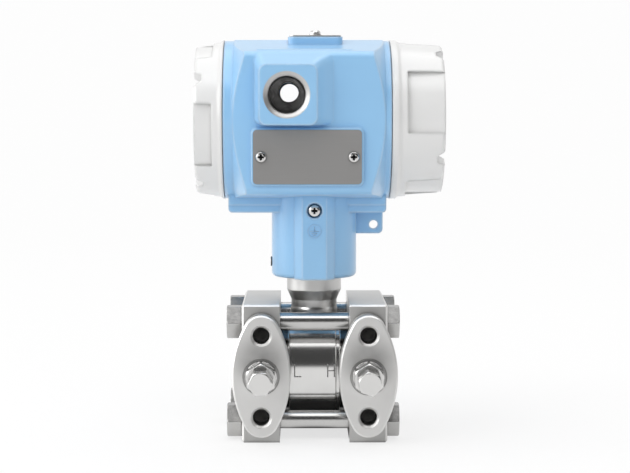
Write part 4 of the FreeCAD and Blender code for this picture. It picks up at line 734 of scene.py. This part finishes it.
def steel(name, settings, roughness, grain, stretch, brightness=1.0, edge=1.0, shade=None, painted_seam_shade=1.0):
    """Stainless steel: grain is the width of the tool marks, which stretch draws out along the axes.

    shade gives the mask of painted shade, such as in a screw's recess, and the last argument is the
    share of the painted shade in the seams.
    """
    colour = shaded(settings.steel, brightness)
    finish = Finish(name, colour, roughness, metallic=1.0)
    marks = finish.noise(grain, stretch, detail=3)
    stains = finish.noise(0.014, detail=2, offset=0.3)
    softened = finish.softened(settings.edge_radius * edge)
    openness = finish.seams(settings.painted_shade_reach)
    tint = finish.mix(stains, shaded(colour, 0.93), shaded(colour, 1.05))
    # Painted highlight: the outer edges are mixed towards near white
    tint = finish.mix(finish.edges(softened, openness) * settings.painted_edge_shine, tint, (0.95, 0.95, 0.94))
    # Painted shade in the seams and corners, mixed towards near black
    shading = 1 - finish.ramp(openness, 0.3, 0.85)
    tint = finish.mix(shading * settings.painted_seam_darkness * painted_seam_shade, tint, (0.02, 0.019, 0.018))
    # Painted shade: where the shade mask is set, the steel is mixed towards near black
    if shade:
        tint = finish.mix(shade(finish), tint, (0.012, 0.012, 0.012))
    finish.put("Base Color", tint)
    finish.put("Roughness", roughness - 0.05 + marks * 0.07 + stains * 0.03)
    finish.relief(marks, settings.grain_height, softened)
    return finish.material


def flange_painted_shade(finish):
    """Painted shade: a darker patch above each vent, and a darker front and top of the block behind the port
    face.
    """
    x, y, z = finish.position()
    vent_shade_height = CELL_HEIGHT + 0.008
    vent_shade_core = 0.004
    vent_shade_edge = 0.018
    painted_front_shade = 0.32
    painted_top_shade = 0.2
    reach = ((abs(x) - PORTS[0]["pos_m"][0]) ** 2 + (z - vent_shade_height) ** 2) ** 0.5
    cloud = finish.noise(0.008, detail=3) * 0.25 + 0.25
    vent_shade = (1 - finish.ramp(reach, vent_shade_core, vent_shade_edge)) * (y < FLANGE_FACE) * cloud
    _, ahead, up = finish.facing()
    # Painted shade by the way the surface faces on its body: its front and top made darker
    front = finish.ramp(0 - ahead, 0.7, 0.9) * painted_front_shade
    top = finish.ramp(up, 0.7, 0.9) * painted_top_shade
    return vent_shade + (y > FLANGE_FACE) * (front + top)


def cell_end_shade(finish):
    """Painted shade on the turned shoulders at both ends of the cell."""
    x, _, _ = finish.position()
    shoulder = 0.0137
    return (abs(x) > shoulder) * 0.85


def bolt_head_shade(finish):
    """Painted shade on the upper faces of the forged bolt heads and nuts outside the flanges, mottled."""
    x, _, _ = finish.position()
    head_height = 0.007
    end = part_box("flange_bolts")[0].x
    upper = finish.ramp(finish.facing()[2], -0.2, 0.2)
    return (abs(x) > abs(end) - head_height) * upper * (finish.noise(0.002, detail=3) * 0.4 + 0.35)


def moulded(name, colour, roughness, grain=0.0004, depth=0.000006):
    """Moulded plastic or rubber with a fine spark texture."""
    finish = Finish(name, colour, roughness)
    speck = finish.noise(grain, detail=2)
    finish.put("Base Color", finish.mix(speck, shaded(colour, 0.9), shaded(colour, 1.1)))
    finish.put("Roughness", roughness - 0.04 + speck * 0.08)
    finish.relief(speck, depth, finish.softened(0.0002))
    return finish.material


def plate_face(settings):
    """Blank plate: satin grey with fine lines along it."""
    finish = Finish("plate grey", settings.plate, 0.42, metallic=0.35)
    lines = finish.noise(0.00025, (60, 1, 1), detail=3)
    haze = finish.noise(0.03, detail=2, offset=0.7)
    blend = lines * 0.5 + haze * 0.5
    tint = finish.mix(blend, shaded(settings.plate, 0.92), shaded(settings.plate, 1.08))
    # Painted shade: round the screws and along the edges of the plate it is mixed towards near black
    painted_seam_shade = 1 - finish.ramp(finish.seams(0.001), 0.3, 0.9)
    finish.put("Base Color", finish.mix(painted_seam_shade * 0.8, tint, (0.03, 0.03, 0.03)))
    finish.put("Roughness", 0.37 + lines * 0.1)
    finish.relief(lines, 0.000002, finish.softened(0.00015))
    return finish.material


def glass():
    finish = Finish("window glass", (0.95, 0.97, 0.96), 0.02, Transmission_Weight=1.0, IOR=1.5)
    wipe = finish.noise(0.02, (3, 1, 1), detail=2)
    finish.put("Roughness", 0.015 + wipe * 0.02)
    return finish.material


# Making pieces
def dress(material, *nodes):
    """Gives solid-model nodes their finish."""
    for name in nodes:
        for slot in frame["nodes"][name].material_slots:
            slot.material = material


def add_piece(name, mesh_maker, material, body, smooth=True):
    """Makes a piece from a bmesh in place and lets it ride on a body."""
    shape = bmesh.new()
    mesh_maker(shape)
    bmesh.ops.recalc_face_normals(shape, faces=shape.faces)
    for face in shape.faces:
        face.smooth = smooth
    mesh = bpy.data.meshes.new(name)
    shape.to_mesh(mesh)
    shape.free()
    mesh.materials.append(material)
    piece = bpy.data.objects.new(name, mesh)
    bpy.context.scene.collection.objects.link(piece)
    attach(piece, body)
    return piece


def stand_on(place, axis):
    """The matrix that puts local Z along an axis at a place."""
    return Matrix.Translation(Vector(place)) @ Vector(axis).to_track_quat("Z", "Y").to_matrix().to_4x4()


def add_thread(shape, matrix, radius, pitch, height, length):
    """A helical ridge inside a hole, from the local origin down along local -Z, faded at both ends."""
    steps_a_turn = 72
    steps = round(length / pitch * steps_a_turn)
    fade_steps = steps_a_turn / 2
    root_half = 0.44
    crest_half = 0.08
    earlier = None
    for step in range(steps + 1):
        angle = step / steps_a_turn * math.tau
        level = -pitch * step / steps_a_turn
        fade = min(1, step / fade_steps, (steps - step) / fade_steps)
        crest = radius - height * fade
        section = ((radius, -root_half), (crest, -crest_half), (crest, crest_half), (radius, root_half))
        ring = []
        for out, share in section:
            place = Vector((out * math.cos(angle), out * math.sin(angle), level + share * pitch))
            ring.append(shape.verts.new(matrix @ place))
        if earlier:
            for first, second in zip(range(3), range(1, 4)):
                shape.faces.new((earlier[first], earlier[second], ring[second], ring[first]))
        earlier = ring


def add_bar(shape, place_point, left, bottom, right, top, thickness, divisions=1):
    """A low bar between two corners of a face; place_point turns (across, up, out) into a point in space."""
    rows = []
    for number in range(divisions + 1):
        up = bottom + (top - bottom) * number / divisions
        corners = corners_of(left, right, thickness)
        rows.append([shape.verts.new(place_point(across, up, out)) for across, out in corners])
    for lower, upper in zip(rows, rows[1:]):
        for index in range(4):
            following = (index + 1) % 4
            shape.faces.new((lower[index], lower[following], upper[following], upper[index]))
    shape.faces.new(rows[0])
    shape.faces.new(rows[-1])


def corners_of(left, right, thickness):
    return ((left, 0.0), (right, 0.0), (right, thickness), (left, thickness))


class BuildStudio(bpy.types.Operator):
    """Sets the camera, the white floor and backdrop, the lamps and the light from all round"""

    bl_idname = "transmitter.build_studio"
    bl_label = "Studio"

    def execute(self, context):
        studio = context.scene.transmitter.studio
        self.add_camera(context, studio)
        self.add_floor(context, studio)
        self.add_lamps(context, studio)
        self.set_world(context, studio)
        context.scene.view_settings.view_transform = "Standard"
        return {"FINISHED"}

    def add_camera(self, context, studio):
        lens = bpy.data.cameras.new("camera")
        lens.sensor_width = 36
        lens.lens = studio.focal_length
        lens.clip_start = 0.05
        lens.clip_end = 20
        camera = bpy.data.objects.new("camera", lens)
        camera.location = studio.camera_place
        camera.rotation_euler = Euler((math.pi / 2 - studio.camera_pitch, 0, -studio.camera_yaw))
        context.scene.collection.objects.link(camera)
        context.scene.camera = camera

    def add_floor(self, context, studio):
        """A floor that turns up smoothly into the backdrop."""
        half_width = 4.0
        front = -3.0
        bend = 0.6
        height = 3.0
        profile = [(front, 0.0), (studio.backdrop_distance, 0.0)]
        for number in range(1, 17):
            angle = math.pi / 2 * number / 16
            profile.append((studio.backdrop_distance + bend * math.sin(angle), bend * (1 - math.cos(angle))))
        profile.append((studio.backdrop_distance + bend, height))
        shape = bmesh.new()
        rows = [[shape.verts.new((side, y, z)) for side in (-half_width, half_width)] for y, z in profile]
        for near_row, far_row in zip(rows, rows[1:]):
            shape.faces.new((near_row[0], near_row[1], far_row[1], far_row[0])).smooth = True
        mesh = bpy.data.meshes.new("floor")
        shape.to_mesh(mesh)
        shape.free()
        mesh.materials.append(self.floor_paint(studio))
        floor = bpy.data.objects.new("floor", mesh)
        context.scene.collection.objects.link(floor)

    def floor_paint(self, studio):
        finish = Finish("floor paint", (0.9, 0.9, 0.9), 0.9, Specular_IOR_Level=0.0)
        camera, through, mirror = [finish.ray(kind) for kind in ("Camera", "Transmission", "Glossy")]
        contact_radius = 0.022
        open_radius = 0.034
        shadow_core = 0.08
        shadow_reach = 0.3
        x, y, _ = finish.position()
        distance = (x**2 + y**2) ** 0.5
        away = finish.ramp(distance, contact_radius, open_radius)
        turn = abs(finish.maths("ARCTAN2", x, 0 - y))
        # Painted dark reflection: metal sees the floor darker to the front left and front right
        painted_dark_wedge = finish.ramp(turn, 0.45, 0.6) * (1 - finish.ramp(turn, 1.0, 1.2))
        gleam = away * (1 - painted_dark_wedge * studio.wedge_darkness) * studio.floor_gleam
        shadow_zone = 1 - finish.ramp(distance, shadow_core, shadow_reach)
        whiteness = studio.floor_whiteness - shadow_zone * studio.shadow_share
        seen = (camera + through) * whiteness + mirror * gleam
        # Painted shade: metal sees the floor near black right under the object
        finish.put("Base Color", finish.mix(mirror * (1 - away), (0.9, 0.9, 0.9), (0.15, 0.15, 0.15)))
        glow = finish.node("ShaderNodeEmission", {}, {"Color": (1, 1, 1, 1), "Strength": 1.0})
        diffuse = Wire(finish, finish.shader.outputs[0])
        values = {0: finish.limit(seen), 1: diffuse, 2: glow}
        blend = finish.node("ShaderNodeMixShader", {}, values)
        finish.feed(finish.tree.nodes["Material Output"].inputs["Surface"], blend)
        return finish.material

    def add_lamps(self, context, studio):
        aim = Vector((0, 0, 0.11))
        self.add_softbox(context, "key lamp", (-1.4, -1.15, 1.1), aim, (1.1, 1.3), studio.key_power)
        self.add_softbox(context, "side lamp", (-1.8, 0.1, 0.5), aim, (0.9, 1.2), studio.side_power)
        self.add_softbox(context, "top lamp", (0, -0.1, 1.5), aim, (1.6, 1.6), studio.top_power)
        fill = self.add_softbox(context, "fill lamp", (0.6, -1.75, 0.9), aim, (1.2, 1.2), studio.fill_power)
        fill.visible_glossy = False

    def add_softbox(self, context, name, place, aim, size, power):
        lamp = bpy.data.lights.new(name, "AREA")
        lamp.shape = "RECTANGLE"
        lamp.size, lamp.size_y = size
        lamp.energy = power
        stand = bpy.data.objects.new(name, lamp)
        stand.location = place
        stand.rotation_euler = (aim - Vector(place)).to_track_quat("-Z", "Y").to_euler()
        context.scene.collection.objects.link(stand)
        return stand

    def set_world(self, context, studio):
        """White to the camera; for light and gloss dark in front, with a shining left wall and ceiling."""
        world = bpy.data.worlds.new("studio")
        world.use_nodes = True
        context.scene.world = world
        graph = Graph(world.node_tree)
        direction = graph.node("ShaderNodeTexCoord", output="Generated")
        split = world.node_tree.nodes.new("ShaderNodeSeparateXYZ")
        graph.feed(split.inputs[0], direction)
        across, ahead, up = [Wire(graph, socket) for socket in split.outputs]
        gap_darkness = 0.88
        low = graph.ramp(up, 0.0, 0.06)
        high = graph.ramp(up, 0.72, 0.76)
        front_gap = graph.ramp(0 - ahead, 0.1, 0.4) * low * (1 - high)
        level = studio.sky_level * (1 - front_gap * gap_darkness)
        camera, mirror = [graph.ray(kind) for kind in ("Camera", "Glossy")]
        left_wall = graph.ramp(0 - across, 0.45, 0.75) * low * (1 - graph.ramp(up, 0.4, 0.6))
        ceiling = high * (1 - graph.ramp(up, 0.88, 0.94))
        level = level + mirror * (left_wall * studio.wall_shine + ceiling * studio.ceiling_shine)
        strength = level + camera * (1 - level)
        back = world.node_tree.nodes["Background"]
        back.inputs["Color"].default_value = (1, 1, 1, 1)
        graph.feed(back.inputs["Strength"], strength)


class CoatHousing(bpy.types.Operator):
    """Gives the cast housing and its two screw covers their powder coats"""

    bl_idname = "transmitter.coat_housing"
    bl_label = "Coatings"

    def execute(self, context):
        settings = context.scene.transmitter.coating
        dress(coating("blue coat", settings.blue, settings, conduit_mouths), "housing")
        white = coating("white coat", settings.white, settings, cover_spigots)
        dress(white, "terminal_cover", "display_cover")
        return {"FINISHED"}


class FinishSteel(bpy.types.Operator):
    """Gives the flanges, the cell, the neck and their fastenings their machined finishes"""

    bl_idname = "transmitter.finish_steel"
    bl_label = "Stainless Steel"

    def execute(self, context):
        metal = context.scene.transmitter.metal
        flange = steel("flange steel", metal, 0.45, 0.0006, (1, 1, 30), 1.13, 0.6, flange_painted_shade)
        dress(flange, "flange_high", "flange_low")
        turned_x = steel("cell steel", metal, 0.16, 0.0003, (1, 0, 0), 1.05, shade=cell_end_shade)
        dress(turned_x, "measuring_cell", "diaphragm_high", "diaphragm_low", "overload_diaphragm")
        dress(steel("neck steel", metal, 0.3, 0.0003, (0, 0, 1), 0.85), "neck_adapter", "sensor_capsule")
        bolts = steel("bolt steel", metal, 0.24, 0.0004, (30, 1, 1), 0.85, shade=bolt_head_shade)
        dress(bolts, "flange_bolts", "flange_nuts")
        vents = ("vent_plug_high", "vent_plug_low", "vent_screw_high", "vent_screw_low")
        dress(steel("vent steel", metal, 0.2, 0.0004, (1, 20, 1), 1.05, painted_seam_shade=0.4), *vents)
        return {"FINISHED"}


class FinishSmallMetal(bpy.types.Operator):
    """Gives the screws, flap and blank plate their finishes"""

    bl_idname = "transmitter.finish_small_metal"
    bl_label = "Plate and Screws"

    def execute(self, context):
        metal = context.scene.transmitter.metal
        screws = (
            "nameplate_screws",
            "earth_screw",
            "flap_washer",
            "flap_screw",
            "terminal_screws",
            "terminal_block_screws",
            "inner_earth_screw",
            "module_screws",
        )
        dress(steel("screw steel", metal, 0.2, 0.0005, (1, 1, 1), 1.05, 0.5, painted_recess_shade), *screws)
        dress(steel("flap steel", metal, 0.3, 0.0004, (30, 1, 1), 0.9, 0.5), "key_flap", "window_ring")
        dress(steel("lock screw steel", metal, 0.35, 0.0004, (1, 1, 1), 0.3, 0.5), "neck_lock_screw")
        dress(plate_face(metal), "nameplate")
        return {"FINISHED"}


class WindSprings(bpy.types.Operator):
    """Winds the springs of the keys"""

    bl_idname = "transmitter.wind_springs"
    bl_label = "Key Springs"

    def execute(self, context):
        springs = context.scene.transmitter.springs
        metal = steel("spring steel", context.scene.transmitter.metal, 0.2, 0.0005, (1, 1, 1), 1.05, 0.5)
        for key in ("front", "middle", "rear"):
            node = f"key_spring_{key}"
            low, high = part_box(node)

            def coil(shape):
                self.wind(shape, low, high, springs)

            piece = add_piece(f"spring_wire_{key}", coil, metal, "housing")
            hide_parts(node)
            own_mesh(piece)
        return {"FINISHED"}

    def wind(self, shape, low, high, springs):
        """A wire that climbs round its well between two corners, and lies flat at both ends."""
        wire = springs.wire_radius
        reach = (high.x - low.x) / 2 - wire
        middle = Vector(((low.x + high.x) / 2, (low.y + high.y) / 2, low.z + wire))
        climb = high.z - low.z - wire * 2
        steps_a_turn = 32
        sides = 8
        flat_share = 0.12
        steps = round(springs.turns * steps_a_turn)
        earlier = None
        for step in range(steps + 1):
            angle = step / steps_a_turn * math.tau
            share = min(1, max(0, (step / steps - flat_share) / (1 - 2 * flat_share)))
            outward = Vector((math.cos(angle), math.sin(angle), 0))
            centre = middle + outward * reach + Vector((0, 0, climb * share))
            ring = []
            for side in range(sides):
                turn = side / sides * math.tau
                offset = outward * math.cos(turn) + Vector((0, 0, math.sin(turn)))
                ring.append(shape.verts.new(centre + offset * wire))
            if earlier:
                for index in range(sides):
                    following = (index + 1) % sides
                    shape.faces.new((earlier[index], earlier[following], ring[following], ring[index]))
            else:
                shape.faces.new(ring)
            earlier = ring
        shape.faces.new(earlier)


class FinishSealsAndPlastics(bpy.types.Operator):
    """Gives the seals, keys, electronics and sight glass their finishes"""

    bl_idname = "transmitter.finish_plastics"
    bl_label = "Seals and Plastics"

    def execute(self, context):
        rubber = moulded("seal rubber", (0.025, 0.025, 0.025), 0.5)
        dress(rubber, "neck_o_ring", "terminal_o_ring", "display_o_ring")
        dress(moulded("gasket white", (0.82, 0.81, 0.78), 0.5), "gasket_high", "gasket_low")
        dress(moulded("key plastic", (0.05, 0.05, 0.055), 0.42), "key_front", "key_middle", "key_rear")
        dress(moulded("terminal plastic", (0.03, 0.03, 0.033), 0.4), "terminal_block")
        dress(moulded("module plastic", (0.12, 0.13, 0.14), 0.45), "electronics_module", "display_module")
        dress(moulded("panel grey", (0.42, 0.47, 0.38), 0.25, 0.002, 0.000001), "display_lcd")
        dress(glass(), "window_glass")
        return {"FINISHED"}


class CutThreads(bpy.types.Operator):
    """Adds the fine threads inside the conduit entries, the fixing holes and the rear ports"""

    bl_idname = "transmitter.cut_threads"
    bl_label = "Threads"

    def execute(self, context):
        settings = context.scene.transmitter.threads
        metal = context.scene.transmitter.metal
        cast_thread = steel("conduit thread metal", metal, 0.3, 0.0004, (1, 1, 1), 0.6, 0.2, painted_seam_shade=0.3)
        steel_thread = steel("flange thread metal", metal, 0.25, 0.0004, (1, 1, 1), 0.5, 0.2, painted_seam_shade=0.5)

        def conduit_threads(shape):
            for mount in CONDUITS:
                self.line_hole(shape, mount, settings.conduit_pitch, settings)

        def port_threads(shape):
            for mount in PORTS:
                self.line_hole(shape, mount, settings.port_pitch, settings)

        def fixing_threads(shape):
            for mount in FIXINGS:
                x, y, z = mount["pos_m"]
                for side in (-1, 1):
                    hole = {**mount, "pos_m": (x, side * y, z), "axis": (0, side, 0)}
                    self.line_hole(shape, hole, settings.mount_pitch, settings)

        add_piece("conduit_threads", conduit_threads, cast_thread, "housing")
        add_piece("port_threads", port_threads, steel_thread, "process_unit")
        add_piece("fixing_threads", fixing_threads, steel_thread, "process_unit")
        return {"FINISHED"}

    def line_hole(self, shape, mount, pitch, settings):
        """Lines a hole, given as a mount by the middle of its wall, with a thread."""
        length = mount["dims"]["length_mm"] * MM
        radius = mount["dims"]["r_mm"] * MM - 0.00001
        mouth = Vector(mount["pos_m"]) + Vector(mount["axis"]) * (length / 2 - pitch)
        matrix = stand_on(mouth, mount["axis"])
        add_thread(shape, matrix, radius, pitch, pitch * settings.ridge, length - pitch * 2)


class EngraveMarks(bpy.types.Operator):
    """Adds the plain H and L side marks of the cell and the raised earth mark of the neck"""

    bl_idname = "transmitter.engrave_marks"
    bl_label = "Marks"

    def execute(self, context):
        marks = context.scene.transmitter.marks
        metal = context.scene.transmitter.metal
        coat = context.scene.transmitter.coating
        ink = steel("etched mark", metal, 0.5, 0.0004, (1, 1, 1), 0.12)
        half = marks.letter_height / 2
        stroke = marks.stroke
        width = marks.letter_height * 0.5

        def side_marks(shape):
            high, low = marks.letter_offset, -marks.letter_offset
            for offset in (-width / 2, width / 2):
                self.stroke(shape, high + offset - stroke / 2, -half, high + offset + stroke / 2, half)
            self.stroke(shape, high - width / 2, -stroke / 2, high + width / 2, stroke / 2)
            self.stroke(shape, low - width / 2 - stroke / 2, -half, low - width / 2 + stroke / 2, half)
            self.stroke(shape, low - width / 2, -half, low + width / 2, -half + stroke)

        add_piece("side_marks", side_marks, ink, "process_unit")

        def earth_mark(shape):
            self.earth(shape, marks.earth_radius, marks.earth_height)

        mark_coat = coating("blue mark", coat.blue, coat)
        add_piece("earth_mark", earth_mark, mark_coat, "housing", False)
        return {"FINISHED"}

    def stroke(self, shape, left, bottom, right, top):
        """One stroke laid round the front of the cell."""
        height = 0.00004

        def on_cell(across, up, out):
            angle = up / CELL_RADIUS
            reach = CELL_RADIUS + out - 0.00001
            return (across, -reach * math.cos(angle), CELL_HEIGHT + reach * math.sin(angle))

        add_bar(shape, on_cell, left, bottom, right, top, height, 8)

    def earth(self, shape, radius, level):
        """A ring round an upright and three bars that grow shorter downwards."""
        height = 0.0003
        stroke = 0.0005

        def on_rib(across, up, out):
            return (across, RIB_FRONT - out + 0.00002, level + up)

        add_bar(shape, on_rib, -stroke / 2, 0.0, stroke / 2, radius * 0.62, height)
        for number, share in enumerate((0.62, 0.4, 0.18)):
            low = -number * radius * 0.3 - stroke / 2
            add_bar(shape, on_rib, -radius * share, low, radius * share, low + stroke, height)
        segments = 64
        for number in range(segments):
            turn, following = (math.tau * (number + step) / segments for step in (0, 1))
            corners = []
            for angle in (turn, following):
                for reach in (radius - stroke, radius):
                    for out in (0.0, height):
                        corners.append(on_rib(reach * math.sin(angle), reach * math.cos(angle), out))
            # A step has four corners at its start and four at its end: low and high, inner and outer
            points = [shape.verts.new(corner) for corner in corners]
            for order in ((1, 3, 7, 5), (0, 1, 5, 4), (2, 6, 7, 3)):
                shape.faces.new([points[index] for index in order])
        bmesh.ops.remove_doubles(shape, verts=shape.verts, dist=0.000001)


class TransmitterPanel(bpy.types.Panel):
    """Lists the steps and settings of the transmitter"""

    bl_idname = "VIEW3D_PT_transmitter"
    bl_label = "Pressure Transmitter"
    bl_space_type = "VIEW_3D"
    bl_region_type = "UI"
    bl_category = "Transmitter"

    def draw(self, context):
        layout = self.layout
        settings = context.scene.transmitter
        for step in STEPS:
            layout.operator(step.bl_idname)
        names = ("studio", "coating", "metal", "springs", "marks", "threads")
        for group in [getattr(settings, name) for name in names]:
            box = layout.box()
            for name in group.bl_rna.properties.keys():
                if name not in ("rna_type", "name"):
                    box.prop(group, name)


STEPS = (
    BuildStudio,
    CoatHousing,
    FinishSteel,
    FinishSmallMetal,
    WindSprings,
    FinishSealsAndPlastics,
    CutThreads,
    EngraveMarks,
)
GROUPS = (
    StudioSettings,
    CoatingSettings,
    MetalSettings,
    MarkSettings,
    ThreadSettings,
    SpringSettings,
    TransmitterSettings,
)
CLASSES = (*GROUPS, *STEPS, TransmitterPanel)


def register():
    for item in CLASSES:
        bpy.utils.register_class(item)
    bpy.types.Scene.transmitter = bpy.props.PointerProperty(type=TransmitterSettings)


def unregister():
    del bpy.types.Scene.transmitter
    for item in reversed(CLASSES):
        bpy.utils.unregister_class(item)


def main():
    register()
    bpy.ops.transmitter.build_studio()
    bpy.ops.transmitter.coat_housing()
    bpy.ops.transmitter.finish_steel()
    bpy.ops.transmitter.finish_small_metal()
    bpy.ops.transmitter.wind_springs()
    bpy.ops.transmitter.finish_plastics()
    bpy.ops.transmitter.cut_threads()
    bpy.ops.transmitter.engrave_marks()


if __name__ == "__main__":
    main()
